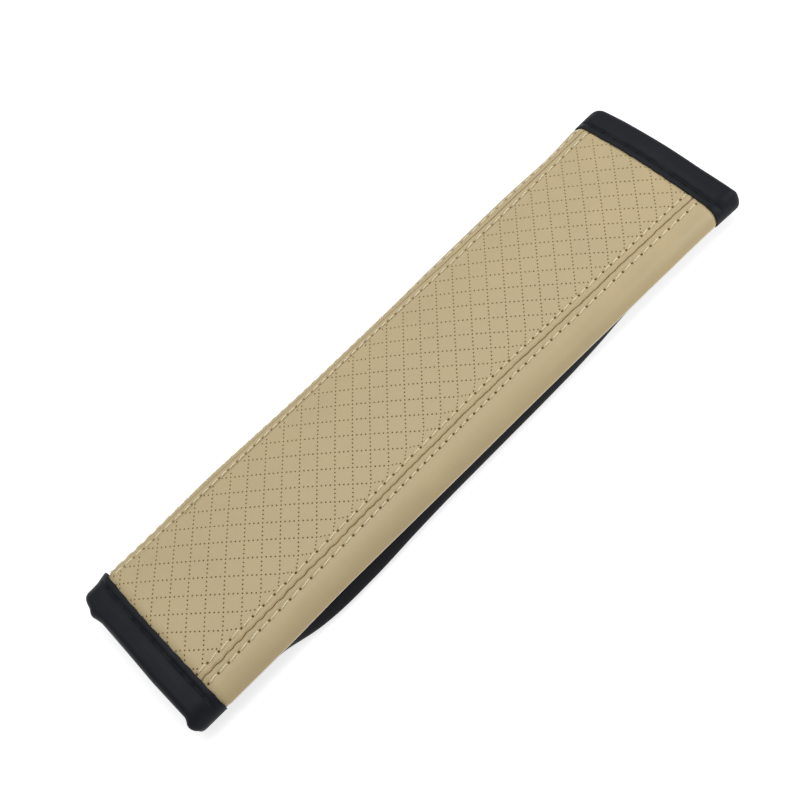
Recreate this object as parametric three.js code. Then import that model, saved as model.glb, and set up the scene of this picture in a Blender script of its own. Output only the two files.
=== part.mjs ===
import * as THREE from 'three';

const { clamp, degToRad, lerp } = THREE.MathUtils;

// A sewn sleeve that closes round a seat belt. Millimetres. It lies on its lapped back with the
// front up and its length along X. Near is -X, far is +X, right is -Y and left is +Y.

// Overall size
const padLength = 250;
const padWidth = 61.4;
const beltSpace = 6.3; // height of the tunnel between the lining and the inner flap
const farFlare = 3.8; // how much wider the far end lies, all of it on the right
const longStep = 26; // longest facet along the pad

// Section of the front: a shallow crown between two rounded shoulders
const shoulderRadius = 6.3;
const shoulderLean = degToRad(7); // slope of the crown where a shoulder takes over

// Sheets
const leatherThickness = 0.8;
const foamThickness = 4;
const foamEndThickness = 2.5; // squeezed under the end bindings
const liningThickness = 0.5;
const flapThickness = 0.7;
const hookThickness = 0.8;
const loopThickness = 0.8;
const sheetGap = 0.2;

// End bindings: a tape folded round each end
const tapeThickness = 0.5;
const bindingWidth = 12.5;
const tuckRun = 1.5; // length over which the panels dive under a binding

// Front panel and side panels
const rightPanelWidth = 13.7; // along the leather, from the seam to the middle of the flank
const leftPanelWidth = 8.2;
const seamGap = 0.3;
const seamDip = 0.35;
const seamDipRun = 1.2;

// Diamond pattern of pinhole lines, drawn as fine grooves
const diamondAlong = 8.1;
const diamondAcross = 8.3;
const grooveDepth = 0.25;
const grooveWidth = 0.9;

// Stitching
const topstitchOffset = 2.4; // each row lies this far from its seam
const topstitchPitch = 4;
const bindingStitchInset = 3; // from the open edge of the tape
const bindingStitchPitch = 5;
const threadWidth = 0.7;
const threadHeight = 0.45;
const threadPinch = 0.3; // width and height of the thread at a needle hole, as a share

// Lapped back: two flaps that hang from the flanks and meet under the belt
const foldInset = 8.7; // from the flank to where a flap turns flat
const foldEase = 0.3; // share of the drop over which a flap still hangs straight down
const tuckedSwell = -4.7; // how far the fold stands out past the flank, drawn in at the ends
const fullSwell = 4.3; // and where the right flap hangs loose
const looseFrom = -90;
const looseTo = 65;
const looseSkew = 0.75; // under one, the loose stretch is fullest nearer its start
const flapOverlap = 24;
const stripWidth = 20;
const stripEndMargin = 6; // from a binding to the end of the hook and loop strips

// Worked out from the sizes above
const halfLength = padLength / 2;
const halfWidth = padWidth / 2;
const bindingEdge = halfLength - bindingWidth;
const tuckStart = bindingEdge - tuckRun;
const sheetEnd = halfLength - tapeThickness - sheetGap;
const tapeDepth = tapeThickness + sheetGap;
const boundFlap = 2 * tapeThickness + flapThickness + 3 * sheetGap;
const lapLevel = Math.max(flapThickness + hookThickness + loopThickness, boundFlap);
const padHeight = lapLevel + flapThickness + beltSpace + liningThickness + foamThickness
  + leatherThickness + 2 * sheetGap;
const shoulderY = halfWidth - shoulderRadius;
const crownRadius = shoulderY / Math.sin(shoulderLean) + shoulderRadius;
const crownZ = padHeight - crownRadius;
const shoulderZ = crownZ + (crownRadius - shoulderRadius) * Math.cos(shoulderLean);
const crownRun = crownRadius * shoulderLean;
const flankRun = crownRun + shoulderRadius * (Math.PI / 2 - shoulderLean);
const rightSeam = rightPanelWidth - flankRun;
const leftSeam = flankRun - leftPanelWidth;

// 0 along the body of the pad, 1 under a binding
const tuck = (x) => clamp((Math.abs(x) - tuckStart) / tuckRun, 0, 1);
const leatherDepth = (x) => tuck(x) * tapeDepth;
const innerDepth = (x) => leatherDepth(x) + leatherThickness + sheetGap;
const foamUnderside = (x) => padHeight - innerDepth(x) - lerp(foamThickness, foamEndThickness, tuck(x));

// Evenly spaced values from one end to the other, no further apart than the step
function spread(from, to, step) {
  const count = Math.max(1, Math.ceil(Math.abs(to - from) / step));
  return Array.from({ length: count + 1 }, (_, i) => lerp(from, to, i / count));
}

// Stations along the pad for a sheet that runs under both bindings
const sheetStations = [
  -sheetEnd, -bindingEdge, ...spread(-tuckStart, tuckStart, longStep), bindingEdge, sheetEnd,
];

// A point in the section of the front. s runs over the leather from the middle, positive to the
// left, depth goes inwards, and nothing rises above the ceiling.
function frontPoint(s, depth, ceiling = Infinity) {
  const side = s < 0 ? -1 : 1;
  const run = Math.abs(s);
  if (run <= crownRun) {
    const turn = run / crownRadius;
    const radius = crownRadius - depth;
    return [side * radius * Math.sin(turn), Math.min(crownZ + radius * Math.cos(turn), ceiling)];
  }
  const turn = shoulderLean + (run - crownRun) / shoulderRadius;
  const radius = shoulderRadius - depth;
  return [
    side * (shoulderY + radius * Math.sin(turn)),
    Math.min(shoulderZ + radius * Math.cos(turn), ceiling),
  ];
}

// How far a flap's fold stands out past the flank
function looseSwell(x) {
  const along = clamp((x - looseFrom) / (looseTo - looseFrom), 0, 1);
  return lerp(tuckedSwell, fullSwell, Math.sin(Math.PI * along ** looseSkew));
}

const rightFlap = { side: -1, level: 0, swell: looseSwell };
const leftFlap = { side: 1, level: lapLevel, swell: () => tuckedSwell };

// A point in the section of a flap. t runs down the fold from 0 at the seam to 1 where the back
// turns flat, and each millimetre of flat back after that adds 1.
function flapPoint(flap, x, t, depth) {
  if (t > 1) {
    return [flap.side * (halfWidth - foldInset - (t - 1)), flap.level + depth];
  }
  const hang = new THREE.Vector2(halfWidth, lerp(shoulderZ, flap.level, foldEase));
  const turn = new THREE.Vector2(halfWidth + flap.swell(x), flap.level);
  const fold = new THREE.CubicBezierCurve(
    new THREE.Vector2(halfWidth, shoulderZ), hang, turn,
    new THREE.Vector2(halfWidth - foldInset, flap.level),
  );
  const point = fold.getPoint(t);
  const heading = fold.getTangent(t);
  return [flap.side * (point.x + heading.y * depth), point.y - heading.x * depth];
}

// Places a point of the section at x, and opens the section out towards the far end
function place(x, [y, z]) {
  const open = farFlare * clamp(x / halfLength, 0, 1) ** 2;
  return new THREE.Vector3(x, y - open * (halfWidth - y) / padWidth, z);
}

// A closed body made of rows of points and the facets between them
class Body {
  points = [];
  faces = [];

  add(point) {
    this.points.push(point);
    return this.points.length - 1;
  }

  row(stations, pointAt) {
    return stations.map((at) => ({ at, id: this.add(pointAt(at)) }));
  }

  // Facets between two rows, which may have different stations
  zip(lower, upper) {
    let i = 0;
    let j = 0;
    while (i < lower.length - 1 || j < upper.length - 1) {
      const stepLower = j === upper.length - 1
        || (i < lower.length - 1 && lower[i + 1].at <= upper[j + 1].at);
      if (stepLower) {
        this.faces.push([lower[i].id, lower[i + 1].id, upper[j].id]);
        i += 1;
      } else {
        this.faces.push([lower[i].id, upper[j + 1].id, upper[j].id]);
        j += 1;
      }
    }
  }

  zipAll(rows) {
    for (let k = 0; k + 1 < rows.length; k += 1) this.zip(rows[k], rows[k + 1]);
  }

  // Carries a closed outline along a path, and closes both ends
  sweep(outlines, outlineFaces) {
    const loops = outlines.map((outline) => outline.map((point) => this.add(point)));
    for (let k = 0; k + 1 < loops.length; k += 1) {
      loops[k].forEach((corner, e) => {
        const next = (e + 1) % loops[k].length;
        this.faces.push([corner, loops[k][next], loops[k + 1][next]]);
        this.faces.push([corner, loops[k + 1][next], loops[k + 1][e]]);
      });
    }
    const start = loops[0];
    const end = loops[loops.length - 1];
    for (const [a, b, c] of outlineFaces) {
      this.faces.push([start[c], start[b], start[a]], [end[a], end[b], end[c]]);
    }
  }

  volume() {
    return this.faces.reduce((sum, [a, b, c]) => {
      const cross = new THREE.Vector3().crossVectors(this.points[b], this.points[c]);
      return sum + this.points[a].dot(cross) / 6;
    }, 0);
  }

  mesh(name, finish) {
    const inward = this.volume() < 0;
    const faces = this.faces.map(([a, b, c]) => (inward ? [a, c, b] : [a, b, c]));
    const geometry = new THREE.BufferGeometry().setFromPoints(this.points);
    geometry.setIndex(faces.flat());
    geometry.computeVertexNormals();
    const mesh = new THREE.Mesh(geometry, new THREE.MeshStandardMaterial(finish));
    mesh.name = name;
    return mesh;
  }
}

// A sheet between an outer and an inner surface, each a grid of stations across and along
function layer(name, finish, across, stations, outerAt, innerAt) {
  const body = new Body();
  const outer = across.map((w) => body.row(stations, (x) => place(x, outerAt(x, w))));
  const inner = across.map((w) => body.row(stations, (x) => place(x, innerAt(x, w))));
  body.zipAll(outer);
  body.zipAll([...inner].reverse());
  closeRim(body, across, outer, inner);
  return body.mesh(name, finish);
}

// Joins the rims of two surfaces. Their rows run along the pad, and are listed from right to left.
function closeRim(body, across, outer, inner, innerAcross = across) {
  const last = (list) => list[list.length - 1];
  const chain = (rows, at, pick) => rows.map((row, k) => ({ at: at[k], id: pick(row).id }));
  body.zip(inner[0], outer[0]);
  body.zip(last(outer), last(inner));
  body.zip(chain(outer, across, (row) => row[0]), chain(inner, innerAcross, (row) => row[0]));
  body.zip(chain(inner, innerAcross, last), chain(outer, across, last));
}

const leather = { color: 0xbcac89, roughness: 0.55, metalness: 0 };
const thread = { color: 0xd9cfae, roughness: 0.8, metalness: 0 };
const foam = { color: 0x4a4a4c, roughness: 0.95, metalness: 0 };
const liningCloth = { color: 0x26272a, roughness: 0.9, metalness: 0 };
const flapCloth = { color: 0x1f2126, roughness: 0.85, metalness: 0 };
const tape = { color: 0x2b2e32, roughness: 0.5, metalness: 0 };
const tapeThread = { color: 0x1b1c1f, roughness: 0.7, metalness: 0 };
const hookTape = { color: 0x17181a, roughness: 0.9, metalness: 0 };

// Extra depth of a panel's outer face beside a seam
const seamDepth = (s, seam) => seamDip * clamp(1 - (Math.abs(s - seam) - seamGap / 2) / seamDipRun, 0, 1);

// The front panel: a field of diamonds inside plain borders
function makeFrontPanel() {
  const body = new Body();
  const right = rightSeam + seamGap / 2;
  const left = leftSeam - seamGap / 2;
  const stepX = diamondAlong / 2;
  const stepS = diamondAcross / 2;
  const columns = Math.floor(2 * bindingEdge / stepX);
  const fieldWidth = leftSeam - rightSeam - 2 * topstitchOffset;
  const rows = Math.floor(fieldWidth / stepS);
  const fieldX = -bindingEdge;
  const fieldS = (leftSeam + rightSeam - rows * stepS) / 2;
  const grooveShare = grooveWidth / 2 / Math.hypot(stepX, stepS) * 2;
  const onLeather = (x, s, depth) => place(x, frontPoint(s, leatherDepth(x) + depth));

  // Corners of the half diamonds, and the points where their grooves begin
  const known = new Map();
  const corner = (i, j, toI = i, toJ = j) => {
    const key = `${i + toI},${j + toJ}`;
    if (!known.has(key)) {
      const isCorner = i === toI && j === toJ;
      const isNode = (i + j) % 2 === 0;
      const toNode = isNode ? grooveShare : 1 - grooveShare;
      const x = fieldX + stepX * (isCorner ? i : lerp(i, toI, toNode));
      const s = fieldS + stepS * (isCorner ? j : lerp(j, toJ, toNode));
      known.set(key, { x, s, id: body.add(onLeather(x, s, isCorner && isNode ? grooveDepth : 0)) });
    }
    return known.get(key);
  };
  const halfDiamond = (centre, nodeA, nodeB) => {
    const c = corner(...centre).id;
    const a = corner(...nodeA).id;
    const b = corner(...nodeB).id;
    const edgeA = corner(...centre, ...nodeA).id;
    const edgeB = corner(...centre, ...nodeB).id;
    body.faces.push([c, edgeA, edgeB], [edgeA, a, b], [edgeA, b, edgeB]);
  };
  for (let i = 0; i < columns; i += 1) {
    for (let j = 0; j < rows; j += 1) {
      if ((i + j) % 2 === 0) {
        halfDiamond([i + 1, j], [i + 1, j + 1], [i, j]);
        halfDiamond([i, j + 1], [i, j], [i + 1, j + 1]);
      } else {
        halfDiamond([i, j], [i + 1, j], [i, j + 1]);
        halfDiamond([i + 1, j + 1], [i, j + 1], [i + 1, j]);
      }
    }
  }

  // The field's four sides, as rows that the borders join
  const side = (count, cornerAt, key) => {
    const list = [];
    for (let k = 0; k < count; k += 1) list.push(cornerAt(k, k), cornerAt(k, k + 1));
    return [...list, cornerAt(count, count)].map((point) => ({ at: point[key], id: point.id }));
  };
  const rightSide = side(columns, (i, toI) => corner(i, 0, toI, 0), 'x');
  const leftSide = side(columns, (i, toI) => corner(i, rows, toI, rows), 'x');
  const nearSide = side(rows, (j, toJ) => corner(0, j, 0, toJ), 's');
  const farSide = side(rows, (j, toJ) => corner(columns, j, columns, toJ), 's');

  const fieldEnd = fieldX + columns * stepX;
  const fieldTop = fieldS + rows * stepS;
  const before = sheetStations.filter((x) => x < fieldX);
  const beyond = sheetStations.filter((x) => x > fieldEnd);
  const border = (s, seam) => body.row(sheetStations, (x) => onLeather(x, s, seamDepth(s, seam)));
  const extend = (list, s) => [
    ...body.row(before, (x) => onLeather(x, s, 0)), ...list,
    ...body.row(beyond, (x) => onLeather(x, s, 0)),
  ];
  const rightRows = [border(right, rightSeam), border(right + seamDipRun, rightSeam)];
  const leftRows = [border(left - seamDipRun, leftSeam), border(left, leftSeam)];
  const rightFull = extend(rightSide, fieldS);
  const leftFull = extend(leftSide, fieldTop);
  body.zipAll([...rightRows, rightFull]);
  body.zipAll([leftFull, ...leftRows]);

  // The borders at the ends, which dive under the bindings
  const inside = spread(fieldS, fieldTop, stepS * 2).slice(1, -1);
  const column = (x, k) => [
    { at: fieldS, id: rightFull.at(k).id },
    ...body.row(inside, (s) => onLeather(x, s, 0)),
    { at: fieldTop, id: leftFull.at(k).id },
  ];
  const nearColumns = before.map((x, k) => column(x, k));
  const farColumns = beyond.map((x, k) => column(x, k - beyond.length));
  const acrossColumns = (list) => {
    for (let k = 0; k + 1 < list.length; k += 1) body.zip(list[k + 1], list[k]);
  };
  acrossColumns([...nearColumns, nearSide]);
  acrossColumns([farSide, ...farColumns]);

  // The back of the panel and its rim
  const backAcross = spread(right, left, diamondAcross);
  const back = backAcross.map((s) => body.row(sheetStations, (x) => onLeather(x, s, leatherThickness)));
  body.zipAll([...back].reverse());
  const nearRim = [
    { at: right, id: rightRows[0][0].id }, { at: right + seamDipRun, id: rightRows[1][0].id },
    ...nearColumns[0],
    { at: left - seamDipRun, id: leftRows[0][0].id }, { at: left, id: leftRows[1][0].id },
  ];
  const farRim = [
    { at: right, id: rightRows[0].at(-1).id }, { at: right + seamDipRun, id: rightRows[1].at(-1).id },
    ...farColumns.at(-1),
    { at: left - seamDipRun, id: leftRows[0].at(-1).id }, { at: left, id: leftRows[1].at(-1).id },
  ];
  const backRim = (k) => back.map((row, n) => ({ at: backAcross[n], id: row.at(k).id }));
  body.zip(back[0], rightRows[0]);
  body.zip(leftRows[1], back.at(-1));
  body.zip(nearRim, backRim(0));
  body.zip(backRim(-1), farRim);
  return body.mesh('front_panel', leather);
}

// A plain strip of leather from a seam, over the shoulder, to the middle of the flank
function makeSidePanel(name, side, seam) {
  const edge = Math.abs(seam) + seamGap / 2;
  const shoulderStart = Math.max(crownRun, edge + seamDipRun);
  const runs = [edge, ...spread(edge + seamDipRun, shoulderStart, longStep).slice(0, -1),
    ...spread(shoulderStart, flankRun, shoulderRadius / 4)];
  const across = runs.map((run) => side * run).sort((a, b) => a - b);
  return layer(name, leather, across, sheetStations,
    (x, s) => frontPoint(s, leatherDepth(x) + seamDepth(s, seam)),
    (x, s) => frontPoint(s, leatherDepth(x) + leatherThickness));
}

// Stations over the front from flank to flank, close together on the shoulders
const overShoulder = spread(crownRun, flankRun, shoulderRadius / 3);
const overFront = [
  ...overShoulder.map((run) => -run).reverse(),
  ...spread(-crownRun, crownRun, diamondAcross).slice(1, -1),
  ...overShoulder,
];

// The foam: crowned like the front, flat underneath, thinned out inside the shoulders
function makeFoam() {
  const lowest = foamUnderside(0) + sheetGap;
  const across = overFront.filter((s) => frontPoint(s, innerDepth(halfLength))[1] > lowest + tapeDepth);
  return layer('foam_core', foam, across, sheetStations,
    (x, s) => frontPoint(s, innerDepth(x)),
    (x, s) => frontPoint(s, innerDepth(x), foamUnderside(x)));
}

// The lining: flat against the foam, turned down inside both flanks to the flap seams
function makeLining() {
  const ceiling = (x) => foamUnderside(x) - sheetGap;
  return layer('lining', liningCloth, overFront, sheetStations,
    (x, s) => frontPoint(s, innerDepth(x), ceiling(x)),
    (x, s) => frontPoint(s, innerDepth(x) + liningThickness, ceiling(x) - liningThickness));
}

// Stations down a flap's fold, from its own thickness below the seam, then over its flat back to
// the free edge
const flapReach = halfWidth - foldInset + flapOverlap / 2;
function downFlap(flap, step) {
  const start = flapThickness / (3 * foldEase * (shoulderZ - flap.level));
  return [...spread(start, 1, step), 1 + flapReach];
}

// A flap of the back, ordered from right to left as seen round the sleeve
function makeFlap(name, flap) {
  const down = downFlap(flap, 0.15);
  const across = flap.side < 0 ? down.reverse() : down;
  const order = across.map((t, k) => ({ t, k }));
  return layer(name, flapCloth, order.map((step) => step.k), sheetStations,
    (x, k) => flapPoint(flap, x, order[k].t, leatherDepth(x)),
    (x, k) => flapPoint(flap, x, order[k].t, leatherDepth(x) + flapThickness));
}

// A flat strip of touch fastener between the flaps
function makeStrip(name, low, high) {
  const end = tuckStart - stripEndMargin;
  const across = [-stripWidth / 2, stripWidth / 2];
  return layer(name, hookTape, across, spread(-end, end, longStep), (x, y) => [y, high], (x, y) => [y, low]);
}

// The way of a binding round the sleeve: at each stop, a point at a depth in the outer fold and in
// the inner fold of the tape
function bindingStops() {
  const inner = innerDepth(halfLength) + liningThickness + sheetGap;
  const ceiling = foamUnderside(halfLength) - liningThickness - 2 * sheetGap;
  const flapInner = tapeDepth + flapThickness + sheetGap;
  // The inner fold runs straight past a flank's seam, from the lining to the flap
  const straightTo = 0.45;
  const innerFlap = (flap, t) => (x, depth) => {
    const below = flapPoint(flap, x, Math.max(t, straightTo), flapInner + depth);
    if (t >= straightTo) return below;
    const above = frontPoint(flap.side * flankRun, inner + depth);
    return above.map((value, axis) => lerp(value, below[axis], t / straightTo));
  };
  const flapStop = (flap, t) => ({
    outer: (x, depth) => flapPoint(flap, x, t, depth),
    inner: innerFlap(flap, t),
  });
  const frontStop = (s) => ({
    outer: (x, depth) => frontPoint(s, depth),
    inner: (x, depth) => frontPoint(s, inner + depth, ceiling - depth),
  });
  return [
    ...downFlap(rightFlap, 0.18).reverse().map((t) => flapStop(rightFlap, t)),
    ...overFront.map((s) => frontStop(s)),
    ...downFlap(leftFlap, 0.18).map((t) => flapStop(leftFlap, t)),
  ];
}

// A tape folded round one end of the sleeve, from one flap's free edge to the other's
function makeBinding(name, end) {
  const body = new Body();
  const web = halfLength - tapeThickness;
  const outlines = bindingStops().map((stop) => [
    place(end * bindingEdge, stop.outer(bindingEdge, 0)),
    place(end * web, stop.outer(web, 0)),
    place(end * halfLength, stop.outer(halfLength, tapeThickness)),
    place(end * halfLength, stop.inner(halfLength, 0)),
    place(end * web, stop.inner(web, tapeThickness)),
    place(end * bindingEdge, stop.inner(bindingEdge, tapeThickness)),
    place(end * bindingEdge, stop.inner(bindingEdge, 0)),
    place(end * web, stop.inner(web, 0)),
    place(end * web, stop.outer(web, tapeThickness)),
    place(end * bindingEdge, stop.outer(bindingEdge, tapeThickness)),
  ]);
  const ends = [[0, 1, 8], [0, 8, 9], [1, 2, 8], [2, 3, 8], [3, 7, 8], [3, 4, 7], [4, 5, 6], [4, 6, 7]];
  body.sweep(outlines, ends);
  return body.mesh(name, tape);
}

// A row of stitches as one thread that rises over each stitch and sinks at each needle hole
function makeStitches(name, finish, from, to, pitch, pointAt) {
  const body = new Body();
  const count = Math.max(1, Math.floor((to - from) / pitch));
  const start = (from + to - count * pitch) / 2;
  const outlines = Array.from({ length: 2 * count + 1 }, (_, k) => {
    const share = k % 2 === 0 ? threadPinch : 1;
    const at = start + k * pitch / 2;
    const reach = share * threadWidth / 2;
    return [
      pointAt(at, -reach, sheetGap), pointAt(at, reach, sheetGap),
      pointAt(at, 0, sheetGap + share * threadHeight),
    ];
  });
  body.sweep(outlines, [[0, 1, 2]]);
  return body.mesh(name, finish);
}

// A row along the pad, on the front or beside a seam
function makeTopstitch(name, s) {
  return makeStitches(name, thread, -tuckStart, tuckStart, topstitchPitch,
    (x, off, rise) => place(x, frontPoint(s + off, -rise)));
}

// A row round the front of a binding, from flank to flank
function makeBindingStitches(name, end) {
  const row = end * (bindingEdge + bindingStitchInset);
  return makeStitches(name, tapeThread, -flankRun, flankRun, bindingStitchPitch,
    (s, off, rise) => place(row + off, frontPoint(s, -rise)));
}

const pad = new THREE.Group();
pad.add(
  makeFrontPanel(),
  makeSidePanel('right_side_panel', -1, rightSeam),
  makeSidePanel('left_side_panel', 1, leftSeam),
  makeTopstitch('right_seam_side_stitches', rightSeam - topstitchOffset),
  makeTopstitch('right_seam_front_stitches', rightSeam + topstitchOffset),
  makeTopstitch('left_seam_front_stitches', leftSeam - topstitchOffset),
  makeTopstitch('left_seam_side_stitches', leftSeam + topstitchOffset),
  makeFoam(),
  makeLining(),
  makeFlap('right_flap', rightFlap),
  makeFlap('left_flap', leftFlap),
  makeStrip('hook_strip', flapThickness, flapThickness + hookThickness),
  makeStrip('loop_strip', lapLevel - loopThickness, lapLevel),
  makeBinding('near_binding', -1),
  makeBinding('far_binding', 1),
  makeBindingStitches('near_binding_stitches', -1),
  makeBindingStitches('far_binding_stitches', 1),
);

// The origin is under the middle of the pad, on the surface that it lies on
const middle = new THREE.Box3().setFromObject(pad).getCenter(new THREE.Vector3());
pad.position.y = -middle.y;

export default pad;
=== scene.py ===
"""A padded leather sleeve that closes round a seat belt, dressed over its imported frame. Metres."""

import math
import random

import bmesh
import bpy
import numpy as np
from bpy.props import FloatProperty, FloatVectorProperty, IntProperty, PointerProperty
from mathutils import Matrix, Vector


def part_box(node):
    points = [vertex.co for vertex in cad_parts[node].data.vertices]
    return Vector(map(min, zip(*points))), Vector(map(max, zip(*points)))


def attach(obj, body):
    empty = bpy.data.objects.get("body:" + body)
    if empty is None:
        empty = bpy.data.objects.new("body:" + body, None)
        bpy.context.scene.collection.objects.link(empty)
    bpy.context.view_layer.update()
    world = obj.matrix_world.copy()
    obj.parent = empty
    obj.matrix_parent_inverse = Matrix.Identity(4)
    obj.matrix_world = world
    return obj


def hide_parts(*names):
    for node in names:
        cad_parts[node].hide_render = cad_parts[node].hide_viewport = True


bl_info = {
    "name": "Seat belt shoulder pad",
    "version": (1, 0, 0),
    "blender": (4, 5, 0),
    "location": "View3D > Sidebar > Shoulder pad",
    "description": "Builds a padded leather sleeve for a seat belt, and its stage",
    "category": "Object",
}

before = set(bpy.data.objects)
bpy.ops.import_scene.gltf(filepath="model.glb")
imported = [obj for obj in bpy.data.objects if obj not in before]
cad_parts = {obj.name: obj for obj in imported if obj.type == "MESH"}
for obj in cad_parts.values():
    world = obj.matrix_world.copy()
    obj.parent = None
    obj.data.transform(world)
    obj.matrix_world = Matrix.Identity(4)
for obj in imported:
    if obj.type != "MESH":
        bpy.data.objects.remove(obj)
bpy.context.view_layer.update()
MM = 0.001

# Sizes that the frame doesn't state: the section of the front and the sheets
SHOULDER_RADIUS = 6.3 * MM
SHOULDER_LEAN = math.radians(7)
LEATHER = 0.8 * MM
FOAM = 4 * MM
FOAM_AT_END = 2.5 * MM
LINING = 0.5 * MM
FLAP = 0.7 * MM
TAPE = 0.5 * MM
SHEET_GAP = 0.2 * MM
CUT_EDGE_SHOWS = 0.5 * MM
TUCK_RUN = 1.5 * MM
RIGHT_PANEL = 13.7 * MM
LEFT_PANEL = 8.2 * MM
SEAM_GAP = 0.14 * MM
FOLD_INSET = 8.7 * MM
FOLD_EASE = 0.3
TUCKED_SWELL = -4.7 * MM
FLAP_OVERLAP = 24 * MM
STRIP_WIDTH = 20 * MM
PAD_WIDTH = 61.4 * MM
FAR_FLARE = 3.8 * MM

# Read from the frame
HALF_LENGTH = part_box("near_binding")[0].x * -1
BINDING_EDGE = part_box("near_binding")[1].x * -1
SHEET_END = HALF_LENGTH - 5 * MM
PAD_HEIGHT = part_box("front_panel")[1].z
LAP_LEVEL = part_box("left_flap")[0].z
STRIP_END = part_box("hook_strip")[1].x
ROW_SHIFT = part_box("hook_strip")[1].y - STRIP_WIDTH / 2

# Worked out from the sizes above
HALF_WIDTH = PAD_WIDTH / 2
TUCK_START = BINDING_EDGE - TUCK_RUN
TAPE_DEPTH = TAPE + SHEET_GAP
SHOULDER_Y = HALF_WIDTH - SHOULDER_RADIUS
CROWN_RADIUS = SHOULDER_Y / math.sin(SHOULDER_LEAN) + SHOULDER_RADIUS
CROWN_Z = PAD_HEIGHT - CROWN_RADIUS
SHOULDER_Z = CROWN_Z + (CROWN_RADIUS - SHOULDER_RADIUS) * math.cos(SHOULDER_LEAN)
CROWN_RUN = CROWN_RADIUS * SHOULDER_LEAN
FLANK_RUN = CROWN_RUN + SHOULDER_RADIUS * (math.pi / 2 - SHOULDER_LEAN)

# The leather is punched in cells. A diamond is eight cells long and eight cells across.
CELL = 8.1 / 8 * MM
CELL_ACROSS = 1.049 * MM
CELLS_PER_DIAMOND = 8
FRONT_ROWS = 44
MOST_ROWS_LOST = 8
FIRST_HOLE = -BINDING_EDGE
RIGHT_INSET = 2.4 * MM
LEFT_INSET = 2.1 * MM
STITCH_LENGTH = 4 * MM
HOLE_GAP = 0.75 * MM
BINDING_ROW_INSET = 2.8 * MM
BINDING_PITCH = 5 * MM
FASTENER_ROW = STRIP_WIDTH / 2 - 1.2 * MM
FASTENER_PITCH = 3 * MM
FASTENER_GROOVE = 0.25 * MM

# How the sewing shapes the leather: a valley at each seam, and a dent along each row and round
# each needle hole. Each stitch also pulls the right seam to and fro, most at the near end.
PUCKER = {-1: 0.6, 1: 0.2}  # how much higher a ridge is between two needle holes, by side
VALLEY_DEPTH = 0.28 * MM
VALLEY_REACH = 0.29 * MM
ROW_REACH = 0.6 * MM
HOLE_DENT = 0.13 * MM
HOLE_DENT_REACH = 0.8 * MM
SLACK_ROW = 0.35
STITCH_PULL = {"near": 0.2 * MM, "far": 0.09 * MM}
SEAM_WANDER = 0.06 * MM
# Each row's leather strays along with its holes up to the first distance, and not past the second
STRAY_REACH = (0.5 * MM, 1.7 * MM)
# The left panel gives way beyond this distance from its seam
UNPULLED = 3.4 * MM

# How finely the sheets are laid out, and how far the small parts of the bindings reach
LINE_STATIONS = 401
PITCH_STATIONS = 2001
LINING_STEP = 2.5 * MM
LINING_ROWS = 69
LINING_CORNER = 0.12 * MM
FLAP_STEP = 2 * MM
FLAP_ROWS = 28
STRIP_STATIONS = 71
STRIP_ROWS = 9
BINDING_STEP = 0.6 * MM
BINDING_ROLL = 2.6 * MM
BINDING_DENT = 0.4 * MM
LIP_RISE = 0.12 * MM
FLARE_RISE = 1.3 * MM
FLARE_REACH = 4.5 * MM
FLARE_SHARE = 0.98
FASTENER_THREAD = 0.15 * MM

# How far each kind of line read along the pad is blurred
BODY_BLUR = 5 * MM
PITCH_BLUR = 3 * MM
OPEN_BLUR = 2 * MM
FOLD_BLUR = 1 * MM

# The foam's grid, how much of the front it fills, and how it is filled out
FOAM_STATIONS = 97
FOAM_ROWS = 25
FOAM_SHARE = 0.88
SEWN_REACH = 1.3 * MM
LEFT_SEAM_LIES = 27 * MM
FILLING_FRAMES = 20

# The seams on the cutting table, as far over the leather from the middle of the front
RIGHT_SEAM = RIGHT_PANEL - FLANK_RUN
LEFT_ROW = RIGHT_SEAM + RIGHT_INSET + FRONT_ROWS * CELL_ACROSS
LEFT_SEAM = LEFT_ROW + LEFT_INSET

# Each topstitched row: its place over the front
TOPSTITCH_ROWS = {
    "right_seam_side": RIGHT_SEAM - RIGHT_INSET,
    "right_seam_front": RIGHT_SEAM + RIGHT_INSET,
    "left_seam_front": LEFT_ROW,
    "left_seam_side": LEFT_SEAM + LEFT_INSET,
}

# The pitch of each row along the pad, in millimetres, and where one of its needle holes is
SIDE_PITCH = ((-125, 4.3), (-85, 4.4), (-63, 4.75), (-46, 4.25), (-38, 3.45), (0, 3.25), (18, 3.45),
              (32, 3.95), (55, 4.35), (80, 4.65), (125, 4.45))
FRONT_PITCH = ((-125, 4.85), (-95, 4.8), (-60, 4.55), (-35, 4.1), (-15, 4.3), (15, 4.15), (30, 3.7),
               (46, 3.45), (58, 4.15), (68, 4.1), (80, 3.65), (92, 3.9), (125, 4.2))
LEFT_PITCH = ((-125, 4.25), (-88, 4.15), (-65, 4.0), (-45, 3.8), (-10, 3.6), (6, 3.5), (16, 3.95),
              (30, 4.3), (60, 4.6), (80, 4.7), (125, 4.6))
PITCH_LINES = {
    "right_seam_side": (SIDE_PITCH, -110.1 * MM),
    "right_seam_front": (FRONT_PITCH, -110.3 * MM),
    "left_seam_front": (LEFT_PITCH, -103.6 * MM),
    "left_seam_side": (LEFT_PITCH, -101.8 * MM),
}

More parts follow.
